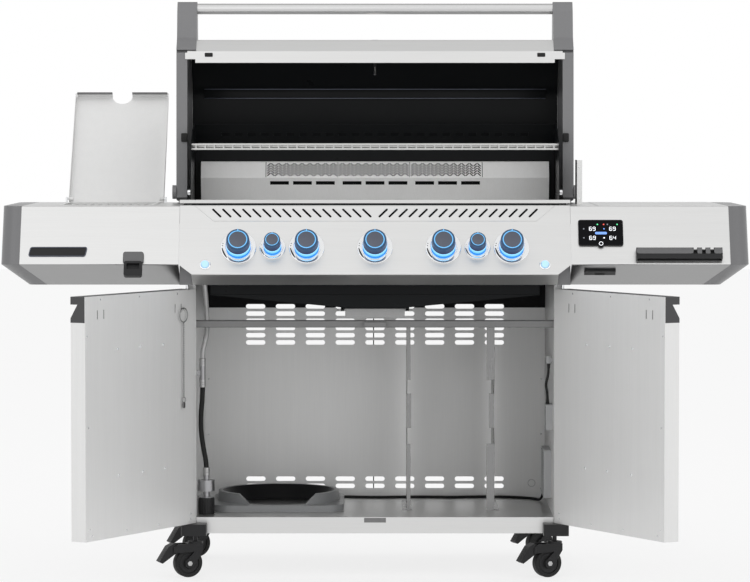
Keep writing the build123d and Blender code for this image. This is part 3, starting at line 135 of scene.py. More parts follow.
def on_door(side, along, z, above=0.0):
    """Matrix of a place on a door's liner: distance from the hinge axis, height, distance off the face."""
    sign = -1 if side == "left" else 1
    run = Vector((sign * -math.cos(DOOR_OPEN), -math.sin(DOOR_OPEN), 0))
    normal = Vector((-sign * math.sin(DOOR_OPEN), math.cos(DOOR_OPEN), 0))
    hinge, _ = joint_line(side + "_door_hinge")
    point = hinge + run * (along / 1000) + normal * ((LINER_FACE + above) / 1000)
    point.z = z / 1000
    return facing(point, normal)


def on_hood(x, y, z, normal):
    """Matrix of a place on the hood, given where it is when the hood is closed."""
    pivot, _ = joint_line("hood_hinge")
    turn = Matrix.Translation(pivot) @ Matrix.Rotation(-HOOD_OPEN, 4, "X") @ Matrix.Translation(-pivot)
    return turn @ facing(mm(x, y, z), normal, FRONT if normal == DOWN else UP)


def shown(name, data):
    """Object in the scene from a mesh, a curve, a lamp or a camera."""
    holder = bpy.data.objects.new(name, data)
    bpy.context.scene.collection.objects.link(holder)
    return holder


# Camera at the photograph's viewing angle
FOCAL_PIXELS = 3547
PICTURE_WIDTH = 750
HORIZON_RISE = 166  # pixels from the middle of the picture up to the horizon
SENSOR_WIDTH = 36
CAMERA_AWAY = 9400
CAMERA_HEIGHT = 1199

camera = shown("camera", bpy.data.cameras.new("camera"))
camera.data.sensor_width = SENSOR_WIDTH
camera.data.lens = FOCAL_PIXELS * SENSOR_WIDTH / PICTURE_WIDTH
camera.data.clip_end = 100
camera.location = mm(0, -CAMERA_AWAY, CAMERA_HEIGHT)
camera.rotation_euler = (math.pi / 2 - math.atan(HORIZON_RISE / FOCAL_PIXELS), 0, 0)
bpy.context.scene.camera = camera
bpy.context.scene.view_settings.view_transform = "Standard"


# Shader nodes
def wire(tree, node, inputs):
    """Inputs of a node, set to values or linked to sockets."""
    for key, value in inputs.items():
        if isinstance(value, bpy.types.NodeSocket):
            tree.links.new(value, node.inputs[key])
        else:
            node.inputs[key].default_value = value


def add(tree, kind, inputs=None, **settings):
    """Node with its settings and inputs."""
    node = tree.nodes.new(kind)
    for key, value in settings.items():
        setattr(node, key, value)
    wire(tree, node, inputs or {})
    return node


def reckon(tree, operation, first, second=0.0):
    """Result of a calculation with two values."""
    return add(tree, "ShaderNodeMath", {0: first, 1: second}, operation=operation).outputs[0]


def scaled(tree, value, start, end, low=0.0, high=1.0):
    """Value brought from one range to another and held there."""
    return add(tree, "ShaderNodeMapRange", {0: value, 1: start, 2: end, 3: low, 4: high}).outputs[0]


def vectors(tree, operation, first, second, result=0):
    return add(tree, "ShaderNodeVectorMath", {0: first, 1: second}, operation=operation).outputs[result]


def object_place(tree):
    return add(tree, "ShaderNodeTexCoord").outputs["Object"]


def object_axis(tree, axis):
    """One of a point's own coordinates."""
    return add(tree, "ShaderNodeSeparateXYZ", {0: object_place(tree)}).outputs[axis]


# Shader groups
FLOAT, VECTOR = "NodeSocketFloat", "NodeSocketVector"


def shader_group(name, inputs, outputs):
    """Empty shader group with named inputs and outputs."""
    group = bpy.data.node_groups.new(name, "ShaderNodeTree")
    for label, value in inputs.items():
        kind = VECTOR if isinstance(value, tuple) else FLOAT
        socket = group.interface.new_socket(label, in_out="INPUT", socket_type=kind)
        socket.default_value = value
    for label, kind in outputs.items():
        group.interface.new_socket(label, in_out="OUTPUT", socket_type=kind)
    return group, group.nodes.new("NodeGroupInput"), group.nodes.new("NodeGroupOutput")


def brushed_group():
    outputs = {"Tone": FLOAT, "Height": FLOAT}
    group, entry, leave = shader_group("brushed grain", {"Stretch": (1.0, 1.0, 1.0)}, outputs)
    stretched = vectors(group, "MULTIPLY", object_place(group), entry.outputs["Stretch"])
    coarse = add(group, "ShaderNodeTexNoise", {"Vector": stretched, "Scale": 60.0, "Detail": 3.0}).outputs[0]
    fine = add(group, "ShaderNodeTexNoise", {"Vector": stretched, "Scale": 420.0, "Detail": 2.0}).outputs[0]
    both = add(group, "ShaderNodeMix", {"Factor": 0.55, "A": coarse, "B": fine})
    wire(group, leave, {"Tone": both.outputs[0], "Height": fine})
    return group


def patches_group():
    group, entry, leave = shader_group("handling patches", {"Scale": 6.0}, {"Tone": FLOAT})
    cloud = add(group, "ShaderNodeTexNoise", {"Vector": object_place(group), "Scale": entry.outputs["Scale"],
                                              "Detail": 5.0, "Roughness": 0.6})
    wire(group, leave, {"Tone": cloud.outputs[0]})
    return group


def speckle_group():
    group, entry, leave = shader_group("moulded grain", {"Scale": 900.0}, {"Tone": FLOAT, "Height": FLOAT})
    spread = {"Vector": object_place(group), "Scale": entry.outputs["Scale"]}
    grain = add(group, "ShaderNodeTexNoise", {**spread, "Detail": 2.0}).outputs[0]
    pits = add(group, "ShaderNodeTexVoronoi", spread).outputs["Distance"]
    wire(group, leave, {"Tone": grain, "Height": reckon(group, "ADD", grain, pits)})
    return group


def edges_group():
    group, entry, leave = shader_group("soft edges", {"Radius": 0.001}, {"Edge": FLOAT, "Normal": VECTOR})
    rounded = add(group, "ShaderNodeBevel", {"Radius": entry.outputs["Radius"]}, samples=4).outputs[0]
    flat = add(group, "ShaderNodeNewGeometry").outputs["Normal"]
    same = vectors(group, "DOT_PRODUCT", rounded, flat, "Value")
    wire(group, leave, {"Edge": scaled(group, same, 0.998, 0.85), "Normal": rounded})
    return group


BRUSHED = brushed_group()
PATCHES = patches_group()
SPECKLE = speckle_group()
EDGES = edges_group()
EDGE_RADIUS = 0.0012
RELIEF_DEPTH = 0.0002
ALONG_X = (0.02, 1.0, 1.0)
ALONG_Y = (1.0, 0.03, 1.0)
ALONG_Z = (1.0, 1.0, 0.02)
EVEN = (1.0, 1.0, 1.0)


# Materials
def use(tree, group, **values):
    """Outputs of a group placed in a material with its own values."""
    return add(tree, "ShaderNodeGroup", values, node_tree=group).outputs


def blank_material(name):
    material = bpy.data.materials.new(name)
    material.use_nodes = True
    tree = material.node_tree
    tree.nodes.clear()
    surface = add(tree, "ShaderNodeBsdfPrincipled")
    output = add(tree, "ShaderNodeOutputMaterial")
    tree.links.new(surface.outputs[0], output.inputs[0])
    return material, tree, surface


def tinted(tree, factor, dark, light):
    """Colour between two others, each given as a colour or a socket, by a value."""
    ends = [end if isinstance(end, bpy.types.NodeSocket) else (*end, 1) for end in (dark, light)]
    return add(tree, "ShaderNodeMix", {"Factor": factor, 6: ends[0], 7: ends[1]}, data_type="RGBA").outputs[2]


def shade(colour, amount):
    """Colour made darker or paler."""
    return tuple(min(1.0, c * amount) for c in colour)


def between(tree, factor, low, high):
    """Value that follows the middle half of a noise from low to high."""
    return scaled(tree, factor, 0.25, 0.75, low, high)


def relief(tree, strength, grain, **others):
    """Normal that shows the height of a grain."""
    inputs = {"Strength": strength, "Distance": RELIEF_DEPTH, "Height": grain["Height"], **others}
    return add(tree, "ShaderNodeBump", inputs).outputs[0]


def source(material, label):
    """What feeds an input of a material's surface."""
    return material.node_tree.nodes["Principled BSDF"].inputs[label].links[0].from_socket


def metal(name, colour, rough, stretch, contrast=0.06, bump=0.12, spread=0.06, metallic=1.0):
    """Bare metal with a grain drawn out along one direction."""
    material, tree, surface = blank_material(name)
    grain = use(tree, BRUSHED, Stretch=stretch)
    cloud = use(tree, PATCHES, Scale=5.0)
    soft = use(tree, EDGES, Radius=EDGE_RADIUS)
    smudge = reckon(tree, "ADD", grain["Tone"], cloud["Tone"])
    dark, pale = shade(colour, 1 - contrast), shade(colour, 1 + contrast)
    wire(tree, surface, {
        "Base Color": tinted(tree, grain["Tone"], dark, pale),
        "Roughness": between(tree, reckon(tree, "MULTIPLY", smudge, 0.5), rough - spread, rough + spread),
        "Metallic": metallic,
        "Normal": relief(tree, bump, grain, Normal=soft["Normal"])})
    return material


def coated(name, colour, rough, grain_scale=900.0, bump=0.15, wear_and_highlight=0.25, metallic=0.0, specular=0.5):
    """Painted, enamelled or moulded surface with a fine grain, and paler edges that are partly wear and
    partly painted highlight.
    """
    material, tree, surface = blank_material(name)
    grain = use(tree, SPECKLE, Scale=grain_scale)
    cloud = use(tree, PATCHES, Scale=7.0)
    soft = use(tree, EDGES, Radius=EDGE_RADIUS)
    base = tinted(tree, grain["Tone"], shade(colour, 0.85), shade(colour, 1.15))
    # paler edges: partly wear, partly painted highlight
    worn_and_lit_edges = reckon(tree, "MULTIPLY", soft["Edge"], wear_and_highlight)
    wire(tree, surface, {
        "Base Color": tinted(tree, worn_and_lit_edges, base, [min(1.0, c + 0.25) for c in colour]),
        "Roughness": between(tree, cloud["Tone"], rough - 0.06, rough + 0.06),
        "Metallic": metallic,
        "Specular IOR Level": specular,
        "Normal": relief(tree, bump, grain, Normal=soft["Normal"])})
    return material


def lit(name, colour, strength):
    """Lit plastic, a little uneven over its surface."""
    material, tree, surface = blank_material(name)
    cloud = use(tree, PATCHES, Scale=60.0)
    glow = tinted(tree, cloud["Tone"], shade(colour, 0.85), colour)
    wire(tree, surface, {"Base Color": glow, "Roughness": 0.3})
    wire(tree, surface, {"Emission Color": glow, "Emission Strength": strength})
    return material


def knob_material():
    """Dark knob sides over a lit collar, told apart by the distance from the panel."""
    material, tree, surface = blank_material("knob_side")
    height = vectors(tree, "DOT_PRODUCT", object_place(tree), PANEL_NORMAL, "Value")
    start = PANEL_POINT.dot(PANEL_NORMAL)
    collar_low, collar_high, top = [start + level / 1000 for level in (*COLLAR, KNOB_FACE)]
    grain = use(tree, SPECKLE, Scale=1200.0)
    glow = scaled(tree, height, collar_high, collar_high - 0.0008)
    side = tinted(tree, scaled(tree, height, collar_high, top), (0.012, 0.03, 0.13), (0.05, 0.13, 0.27))
    collar = tinted(tree, scaled(tree, height, collar_low, collar_high), (0.06, 0.34, 0.8), (0.3, 0.68, 0.96))
    wire(tree, surface, {
        "Base Color": tinted(tree, glow, side, collar),
        "Emission Color": tinted(tree, glow, (0.0, 0.0, 0.0), collar),
        "Emission Strength": 0.8,
        "Roughness": between(tree, grain["Tone"], 0.3, 0.42),
        "Metallic": 0.2,
        "Specular IOR Level": 0.2,
        "Normal": relief(tree, 0.08, grain)})
    return material


def cover(material, mask, colour, specular):
    """Second colour on the part of a material where the mask is 1; every use here is painted shade, in a
    darker colour.
    """
    tree = material.node_tree
    surface = tree.nodes["Principled BSDF"]
    changed = {"Base Color": tinted(tree, mask, source(material, "Base Color"), colour)}
    for label, level in (("Metallic", 0.0), ("Specular IOR Level", specular)):
        changed[label] = scaled(tree, mask, 0.0, 1.0, surface.inputs[label].default_value, level)
    wire(tree, surface, changed)
    return material


def upright_steel(name):
    return metal(name, (0.8, 0.8, 0.795), 0.46, ALONG_Z, metallic=0.3)


def back_material():
    """Steel sheet with painted shade in black above the header rail."""
    material = metal("stainless_inside", (0.76, 0.76, 0.755), 0.45, ALONG_Z, metallic=0.35)
    tree = material.node_tree
    low = PAINTED_SHADE_LOW / 1000
    return cover(material, scaled(tree, object_axis(tree, "Z"), low, low + 0.001), (0.006, 0.006, 0.007), 0.1)


def shelf_material():
    """Brushed steel, with painted shade in a darker grey on the faces that are turned down."""
    material = metal("stainless_shelf", (0.7, 0.7, 0.695), 0.33, ALONG_X, bump=0.1)
    tree = material.node_tree
    facet = add(tree, "ShaderNodeNewGeometry").outputs["True Normal"]
    lean = add(tree, "ShaderNodeSeparateXYZ", {0: facet}).outputs["Z"]
    # faces turned down are greyed as painted shade
    tone = tinted(tree, scaled(tree, lean, -0.1, -0.3), source(material, "Base Color"), (0.36, 0.36, 0.36))
    wire(tree, tree.nodes["Principled BSDF"], {"Base Color": tone})
    return material


def frame_material():
    """Wall steel, with painted shade in a darker grey on the header rail between the walls."""
    material = upright_steel("stainless_frame")
    tree = material.node_tree
    across = reckon(tree, "ABSOLUTE", object_axis(tree, "X"))
    edge = INNER_HALF / 1000
    return cover(material, scaled(tree, across, edge, edge - 0.001), (0.2, 0.2, 0.2), 0.4)


def side_lid_material():
    """Brushed sheet with a darker band along its free edge, a painted dark reflection on its lip."""
    material = upright_steel("stainless_side_lid")
    tree = material.node_tree
    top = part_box("side_burner_lid")[1].z
    mask = scaled(tree, object_axis(tree, "Z"), top - 0.008, top - 0.005)
    return cover(material, mask, (0.22, 0.22, 0.22), 0.4)


def ring_material():
    """Grey moulding, with painted shade in black inside its dish."""
    material = coated("grey_plastic", (0.24, 0.245, 0.25), 0.36, grain_scale=700.0, bump=0.2, wear_and_highlight=0.2)
    tree = material.node_tree
    flat = vectors(tree, "MULTIPLY", object_place(tree), (1, 1, 0))
    away = vectors(tree, "DISTANCE", flat, mm(RING_X, RING_Y, 0), "Value")
    edge = RING_DISH / 1000
    return cover(material, scaled(tree, away, edge + 0.002, edge), (0.012, 0.012, 0.013), 0.15)


def braid_material():
    """Hose in a ridged steel braid."""
    material = metal("braided_hose", (0.62, 0.62, 0.62), 0.4, EVEN, contrast=0.12, metallic=0.6)
    tree = material.node_tree
    place = object_place(tree)
    rings = add(tree, "ShaderNodeTexWave", {"Vector": place, "Scale": 105.0}, bands_direction="Z")
    ridges = add(tree, "ShaderNodeBump", {"Strength": 0.8, "Distance": 0.001, "Height": rings.outputs["Fac"],
                                          "Normal": source(material, "Normal")})
    wire(tree, tree.nodes["Principled BSDF"], {"Normal": ridges.outputs[0]})
    return material


STEEL = metal("stainless_long", (0.68, 0.68, 0.675), 0.34, ALONG_X)
UPRIGHT_STEEL = upright_steel("stainless_upright")
FRAME_STEEL = frame_material()
SIDE_LID_STEEL = side_lid_material()
# dividers in a much darker steel: painted shade inside the cabinet
DIVIDER_STEEL = metal("divider_steel", (0.27, 0.27, 0.27), 0.26, ALONG_Z, contrast=0.1, metallic=0.7)
CHAIN_STEEL = metal("chain_steel", (0.3, 0.3, 0.3), 0.3, EVEN, contrast=0.05)
BACK_STEEL = back_material()
SHELF_STEEL = shelf_material()
GRILL_STEEL = metal("grid_steel", (0.58, 0.58, 0.57), 0.32, ALONG_Y, contrast=0.12)
# near-white, barely metallic burner steel: painted light on parts that the hood shades
BURNER_STEEL = metal("burner_steel", (0.96, 0.96, 0.945), 0.45, ALONG_Z, contrast=0.08, bump=0.2,
                     metallic=0.05)
TUBE_STEEL = metal("handle_steel", (0.62, 0.62, 0.62), 0.24, ALONG_X, contrast=0.03, bump=0.05)
CHROME = metal("polished_chrome", (0.8, 0.81, 0.82), 0.08, EVEN, contrast=0.02, bump=0.02, spread=0.03)
ZINC = metal("zinc_sheet", (0.5, 0.5, 0.5), 0.45, EVEN, contrast=0.15, bump=0.1)
DIE_CAST = metal("die_cast_zinc", (0.38, 0.38, 0.39), 0.32, EVEN, contrast=0.1)
BRAID = braid_material()
BRASS = metal("turned_brass", (0.66, 0.5, 0.26), 0.3, (1.0, 1.0, 0.1), contrast=0.08)
CHARCOAL = coated("charcoal_casting", (0.21, 0.21, 0.215), 0.42, metallic=0.4, bump=0.1)
END_CAP = coated("end_cap_casting", (0.18, 0.18, 0.184), 0.32, metallic=0.5, bump=0.1)
FITTING_GREY = coated("fitting_grey", (0.14, 0.14, 0.143), 0.42, metallic=0.3, bump=0.1)
GRIP_DARK = coated("grip_dark", (0.06, 0.06, 0.062), 0.45, metallic=0.2)
BLACK_ENAMEL = coated("black_enamel", (0.008, 0.009, 0.01), 0.32, grain_scale=300.0, bump=0.05, wear_and_highlight=0.06,
                      specular=0.12)
BLACK_PAINT = coated("black_paint", (0.014, 0.014, 0.015), 0.38, wear_and_highlight=0.15, specular=0.3)
DARK_PLASTIC = coated("dark_plastic", (0.02, 0.02, 0.021), 0.45, wear_and_highlight=0.1, specular=0.25)
GREY_PLASTIC = ring_material()
PALE_PLASTIC = coated("pale_plastic", (0.36, 0.365, 0.37), 0.45, wear_and_highlight=0.1)
RUBBER = coated("black_rubber", (0.014, 0.014, 0.014), 0.62, grain_scale=1600.0, bump=0.25, wear_and_highlight=0.0,
                specular=0.3)
DARK_GLASS = coated("dark_glass", (0.004, 0.004, 0.005), 0.14, bump=0.01, wear_and_highlight=0.0, specular=0.08)
KNOB_SIDE = knob_material()
KNOB_GREY = metal("knob_grey", (0.12, 0.13, 0.16), 0.42, EVEN, contrast=0.1, spread=0.05)
KNOB_BLUE = coated("knob_blue", (0.02, 0.075, 0.17), 0.35, wear_and_highlight=0.1)
LIGHT_RING = lit("light_ring", (0.16, 0.48, 0.85), 0.5)
BUTTON_LIGHT = lit("button_light", (0.45, 0.72, 0.95), 0.4)
DIGIT_WHITE = lit("digit_white", (0.9, 0.92, 0.95), 1.0)
DIGIT_DIM = lit("digit_dim", (0.16, 0.17, 0.19), 0.8)
DIGIT_GREEN = lit("digit_green", (0.1, 0.7, 0.3), 0.9)
DIGIT_RED = lit("digit_red", (0.8, 0.08, 0.06), 0.9)
DIGIT_BLUE = lit("digit_blue", (0.15, 0.3, 0.75), 0.8)
CERAMIC = coated("burner_ceramic", (0.62, 0.58, 0.5), 0.8, grain_scale=400.0, bump=0.4)
DIAL_WHITE = coated("dial_white", (0.8, 0.8, 0.77), 0.4, wear_and_highlight=0.0, bump=0.02)


# Pieces
def settled(name, shape):
    """Mesh from a shape that is being drawn."""
    mesh = bpy.data.meshes.new(name)
    shape.to_mesh(mesh)
    shape.free()
    return mesh


def put(name, mesh, material, body="grill", smooth=True):
    """Finished mesh as a piece of the object, moving with its body."""
    if isinstance(mesh, bmesh.types.BMesh):
        mesh = settled(name, mesh)
    mesh.name = name
    if material:
        mesh.materials.clear()
        mesh.materials.append(material)
    piece = shown(name, mesh)
    if smooth:
        mesh.set_sharp_from_angle(angle=math.radians(35))
    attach(piece, body)
    return piece


def fit(name, shape, face, material, body="grill", smooth=True):
    """Piece from a shape that is drawn flat, on the face that the matrix gives."""
    shape.transform(face)
    return put(name, shape, material, body, smooth)


def turned(profile, steps=48):
    """Solid of revolution about Z from radii and heights in millimetres, drawn from the bottom to the top."""
    bm = bmesh.new()
    rings = []
    for radius, height in profile:
        count = 1 if radius == 0 else steps
        circle = [polar(radius / 1000, 360 * i / steps) for i in range(count)]
        rings.append([bm.verts.new((x, y, height / 1000)) for x, y in circle])
    for low, high in zip(rings, rings[1:]):
        for i in range(steps):
            j = (i + 1) % steps
            square = (low[i % len(low)], low[j % len(low)], high[j % len(high)], high[i % len(high)])
            corners = list(dict.fromkeys(square))
            if len(corners) > 2:
                bm.faces.new(corners)
    bmesh.ops.recalc_face_normals(bm, faces=bm.faces)
    return bm


def slab(outline, low, high, rounding=0.3):
    """Plate with a flat outline in millimetres and softened edges."""
    bm = bmesh.new()
    bottom = [bm.verts.new((x / 1000, y / 1000, low / 1000)) for x, y in outline]
    face = bm.faces.new(bottom)
    top = bmesh.ops.extrude_face_region(bm, geom=[face])["geom"]
    lift = [v for v in top if isinstance(v, bmesh.types.BMVert)]
    bmesh.ops.translate(bm, verts=lift, vec=(0, 0, (high - low) / 1000))
    bmesh.ops.recalc_face_normals(bm, faces=bm.faces)
    if rounding:
        bmesh.ops.bevel(bm, geom=bm.edges[:], offset=rounding / 1000, segments=2, affect="EDGES", profile=0.5)
    return bm


def rectangle(width, height, x=0.0, y=0.0):
    signs = ((-1, -1), (1, -1), (1, 1), (-1, 1))
    return [(x + across * width / 2, y + up * height / 2) for across, up in signs]


def rounded_rectangle(width, height, radius, steps=5):
    points = []
    for corner, (sx, sy) in enumerate(((1, 1), (-1, 1), (-1, -1), (1, -1))):
        for i in range(steps + 1):
            x, y = polar(radius, 90 * (corner + i / steps))
            points.append((sx * (width / 2 - radius) + x, sy * (height / 2 - radius) + y))
    return points


def tube(points, radius, sides=10, closed=False):
    """Round bar along points given in metres."""
    bm = bmesh.new()
    count = len(points)
    rings = []
    normal = None
    for i, point in enumerate(points):
        before = points[(i - 1) % count] if closed or i else points[0]
        after = points[(i + 1) % count] if closed or i < count - 1 else points[-1]
        along = (after - before).normalized()
        if normal is None:
            normal = along.orthogonal().normalized()
        normal = (normal - along * normal.dot(along)).normalized()
        other = along.cross(normal)
        circle = [polar(radius, 360 * k / sides) for k in range(sides)]
        rings.append([bm.verts.new(point + normal * x + other * y) for x, y in circle])
    pairs = list(zip(rings, rings[1:])) + ([(rings[-1], rings[0])] if closed else [])
    for low, high in pairs:
        for k in range(sides):
            bm.faces.new((low[k], low[(k + 1) % sides], high[(k + 1) % sides], high[k]))
    if not closed:
        bm.faces.new(list(reversed(rings[0])))
        bm.faces.new(rings[-1])
    bmesh.ops.recalc_face_normals(bm, faces=bm.faces)
    return bm


def joined(shapes):
    """Several shapes, each with its matrix, as one."""
    bm = bmesh.new()
    for shape, matrix in shapes:
        shape.transform(matrix)
        mesh = settled("part", shape)
        bm.from_mesh(mesh)
        bpy.data.meshes.remove(mesh)
    return bm


# Geometry Nodes trees for what repeats
def geometry_tree(name, inputs):
    """Empty tree that takes and gives geometry, with named inputs."""
    tree = bpy.data.node_groups.new(name, "GeometryNodeTree")
    tree.interface.new_socket("Geometry", in_out="INPUT", socket_type="NodeSocketGeometry")
    for label, kind in inputs.items():
        tree.interface.new_socket(label, in_out="INPUT", socket_type="NodeSocket" + kind)
    tree.interface.new_socket("Geometry", in_out="OUTPUT", socket_type="NodeSocketGeometry")
    return tree, tree.nodes.new("NodeGroupInput"), tree.nodes.new("NodeGroupOutput")


def finished(tree, placed, entry, leave):
    """Copies made real and given their material, at the end of a tree."""
    real = add(tree, "GeometryNodeRealizeInstances", {"Geometry": placed.outputs[0]})
    painted = add(tree, "GeometryNodeSetMaterial", {
        "Geometry": real.outputs[0], "Material": entry.outputs["Finish"]})
    tree.links.new(painted.outputs[0], leave.inputs[0])
    return tree


def copies_tree():
    """A copy of one object on every point, turned by the point's turn attribute."""
    inputs = {"Copy": "Object", "Size": "Float", "Finish": "Material"}
    tree, entry, leave = geometry_tree("copies on points", inputs)
    original = add(tree, "GeometryNodeObjectInfo", {"Object": entry.outputs["Copy"]})
    turn = add(tree, "GeometryNodeInputNamedAttribute", {"Name": "turn"})
    spin = add(tree, "ShaderNodeCombineXYZ", {"Z": turn.outputs[0]})
    placed = add(tree, "GeometryNodeInstanceOnPoints", {
        "Points": entry.outputs["Geometry"], "Instance": original.outputs["Geometry"],
        "Rotation": spin.outputs[0], "Scale": entry.outputs["Size"]})
    return finished(tree, placed, entry, leave)


def beads_tree():
    """Balls spaced along a line of points, as on a bead chain."""
    inputs = {"Spacing": "Float", "Radius": "Float", "Finish": "Material"}
    tree, entry, leave = geometry_tree("bead chain", inputs)
    line = add(tree, "GeometryNodeMeshToCurve", {"Mesh": entry.outputs["Geometry"]})
    points = add(tree, "GeometryNodeCurveToPoints", {
        "Curve": line.outputs[0], "Length": entry.outputs["Spacing"]}, mode="LENGTH")
    ball = add(tree, "GeometryNodeMeshIcoSphere", {"Radius": entry.outputs["Radius"], "Subdivisions": 2})
    placed = add(tree, "GeometryNodeInstanceOnPoints", {
        "Points": points.outputs[0], "Instance": ball.outputs[0]})
    return finished(tree, placed, entry, leave)


COPIES = copies_tree()
BEADS = beads_tree()


def grown(points, tree, values):
    """Plain mesh that a tree makes from a mesh of points."""
    holder = shown("holder", points)
    modifier = holder.modifiers.new("tree", "NODES")
    modifier.node_group = tree
    for item in tree.interface.items_tree:
        if item.in_out == "INPUT" and item.name in values:
            modifier[item.identifier] = values[item.name]
    holder.update_tag()
    depsgraph = bpy.context.evaluated_depsgraph_get()
    mesh = bpy.data.meshes.new_from_object(holder.evaluated_get(depsgraph), depsgraph=depsgraph)
    bpy.data.objects.remove(holder)
    return mesh


def repeated(name, shape, places, matrix, material, body="grill"):
    """Copies of a shape at (x, y, turn) in millimetres and degrees on the face that the matrix gives."""
    points = bpy.data.meshes.new("points")
    points.from_pydata([(x / 1000, y / 1000, 0) for x, y, _ in places], [], [])
    turn = points.attributes.new("turn", "FLOAT", "POINT")
    turn.data.foreach_set("value", [math.radians(angle) for _, _, angle in places])
    template = shown("template", settled("template", shape))
    mesh = grown(points, COPIES, {"Copy": template, "Size": 1.0, "Finish": material})
    bpy.data.objects.remove(template)
    mesh.transform(matrix)
    return put(name, mesh, None, body)


def dress(material, *names):
    """Material of the nodes that stay as modelled."""
    for name in names:
        mesh = frame["nodes"][name].data
        mesh.materials.clear()
        mesh.materials.append(material)


# Cords: two lengths of gas hose, and the leads of the power boxes
UPPER_HOSE = [(-452, -34.662, 820.150), (-452, -5.5, 782.5), (-449, 62.5, 703), (-448, 67, 645),
              (-457, 67, 610), (-461, 64, 586), (-461, 64, 556)]
LOWER_HOSE = [(-461, 64, 518), (-461, 64, 478.06), (-466, 74, 429.94), (-467, 84, 380.02), (-460, 86, 330.1),
              (-452, 82, 296.05), (-452, 82, 262)]
FLOOR_LEAD = [(466, 290, 206), (466, 345, 206), (462, 396, 160), (444, 444, 160), (408, 474, 160),
              (362, 490, 160), (312, 494, 160), (262, 488, 160), (212, 480, 160), (162, 486, 160),
              (112, 491, 160), (62, 485, 160), (12, 478, 160), (-38, 484, 160), (-88, 493, 160),
              (-138, 498, 160), (-188, 500, 160), (-236, 501, 160), (-274, 503, 160), (-310, 503, 160)]
WALL_LEAD = [(466, 100, 560), (466, 100, 530), (458, 106, 504), (464, 114, 478), (464, 114, 450)]


def cord(name, route, diameter, node, material=RUBBER):
    """Round cord through the points of its route, in place of the cord of a node."""
    curve = bpy.data.curves.new(name, "CURVE")
    curve.dimensions = "3D"
    curve.bevel_depth = diameter / 2000
    curve.bevel_resolution = 5
    curve.resolution_u = 10
    curve.use_fill_caps = True
    spline = curve.splines.new("NURBS")
    spline.points.add(len(route) - 1)
    for point, place in zip(spline.points, route):
        point.co = (*mm(*place), 1)
    spline.order_u = 3
    spline.use_endpoint_u = True
    curve.materials.append(material)
    piece = shown(name, curve)
    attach(piece, "grill")
    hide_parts(node)


cord("gas_hose_upper", UPPER_HOSE, HOSE_DIAMETER, "gas_hose", BRAID)
cord("gas_hose_lower", LOWER_HOSE, HOSE_DIAMETER, "gas_hose")
cord("floor_lead", FLOOR_LEAD, LEAD_DIAMETER, "power_cord")
cord("wall_lead", WALL_LEAD, LEAD_DIAMETER, "power_cord")

# Finishes of the pieces that stay as modelled
dress(STEEL, "base_pan", "control_panel", "lid_skin")
dress(SHELF_STEEL, "side_shelves")
dress(UPRIGHT_STEEL, "left_door", "right_door", "side_burner")
dress(FRAME_STEEL, "cabinet_frame")
dress(SIDE_LID_STEEL, "side_burner_lid")
dress(BACK_STEEL, "back_panel")
dress(DIVIDER_STEEL, "cabinet_dividers")
dress(BURNER_STEEL, "rear_burner", "sear_plates", "burner_tubes")
dress(GRILL_STEEL, "cooking_grids", "warming_rack")
dress(TUBE_STEEL, "lid_handle")
dress(CHROME, "knob_bezels", "lid_thermometer", "hinge_pins")
dress(CHAIN_STEEL, "lighter_chain")
dress(CHARCOAL, "lid_castings")
dress(END_CAP, "shelf_end_caps")
dress(GRIP_DARK, "left_door_grip", "right_door_grip")
# the drip tray is black here as painted shade under the firebox
dress(BLACK_ENAMEL, "firebox", "rear_hood", "lid_liner", "drip_tray")
dress(ZINC, "grease_pan")
dress(BRASS, "gas_manifold")
dress(DIE_CAST, "gas_regulator")
dress(BUTTON_LIGHT, "button_left", "button_right")
dress(DARK_GLASS, "display_module")
dress(GREY_PLASTIC, "cylinder_ring")
dress(PALE_PLASTIC, "power_supply")
dress(BLACK_PAINT, "caster_sockets")
dress(DARK_PLASTIC, "shelf_fittings")
for corner in CORNERS:
    dress(BLACK_PAINT, "caster_fork_" + corner)
    dress(RUBBER, "caster_wheel_" + corner)
    dress(DARK_PLASTIC, "caster_brake_" + corner)
for place in LARGE_KNOBS + SMALL_KNOBS:
    dress(KNOB_SIDE, "knob_" + place)

# Knob faces, as shares of the knob's radius and heights in millimetres
KNOB_EDGE = 2  # width of the rounded edge
KNOB_DISC = [(0, 0.0), (0.74, 0.0), (0.74, 0.5), (0.71, 0.8), (0, 0.95)]
KNOB_LINE = [(0.75, 0.0), (0.84, 0.0), (0.835, 0.7), (0.755, 0.7), (0.75, 0.0)]
KNOB_RIM = [(0.85, 0.0), (0.97, 0.0), (0.96, 0.35), (0.86, 0.5), (0.85, 0.0)]
MARK_START, MARK_SWEEP, MARK_STEPS = 184, 42, 14  # printed arc, start and sweep in degrees
MARK_DOTS = (166, 175)  # degrees
PRINT = 0.12  # thickness of the printed marks


def knob_faces():
    """Grey face, lit line, rim and pointer on every knob, and the printed marks on its bezel."""
    for place in LARGE_KNOBS + SMALL_KNOBS:
        large = place in LARGE_KNOBS
        radius = (LARGE_KNOB_RADIUS if large else SMALL_KNOB_RADIUS) - KNOB_EDGE
        bezel = LARGE_BEZEL_RADIUS if large else SMALL_BEZEL_RADIUS
        name = "knob_" + place
        body = name + "_turning"
        x = 1000 * JOINTS[name + "_turn"]["pos_m"][0]
        z = 1000 * PANEL_POINT.z
        face = on_panel(x, z, KNOB_FACE)
        for part, profile, material, slot in (("_face", KNOB_DISC, KNOB_GREY, "knob_grey"),
                                              ("_light_ring", KNOB_LINE, LIGHT_RING, "button_light"),
                                              ("_rim", KNOB_RIM, KNOB_BLUE, "knob_grey")):
            shape = turned([(radius * share, height) for share, height in profile])
            fit(name + part, shape, face, material, body)
        pointer = slab(rectangle(2.2, radius * 0.15, y=radius * 0.905), 0.1, 0.9, 0.25)
        fit(name + "_pointer", pointer, face, LIGHT_RING, body)
        marks = bezel_marks(bezel, on_panel(x, z, BEZEL_FACE))
        put(name + "_marks", marks, DARK_PLASTIC)


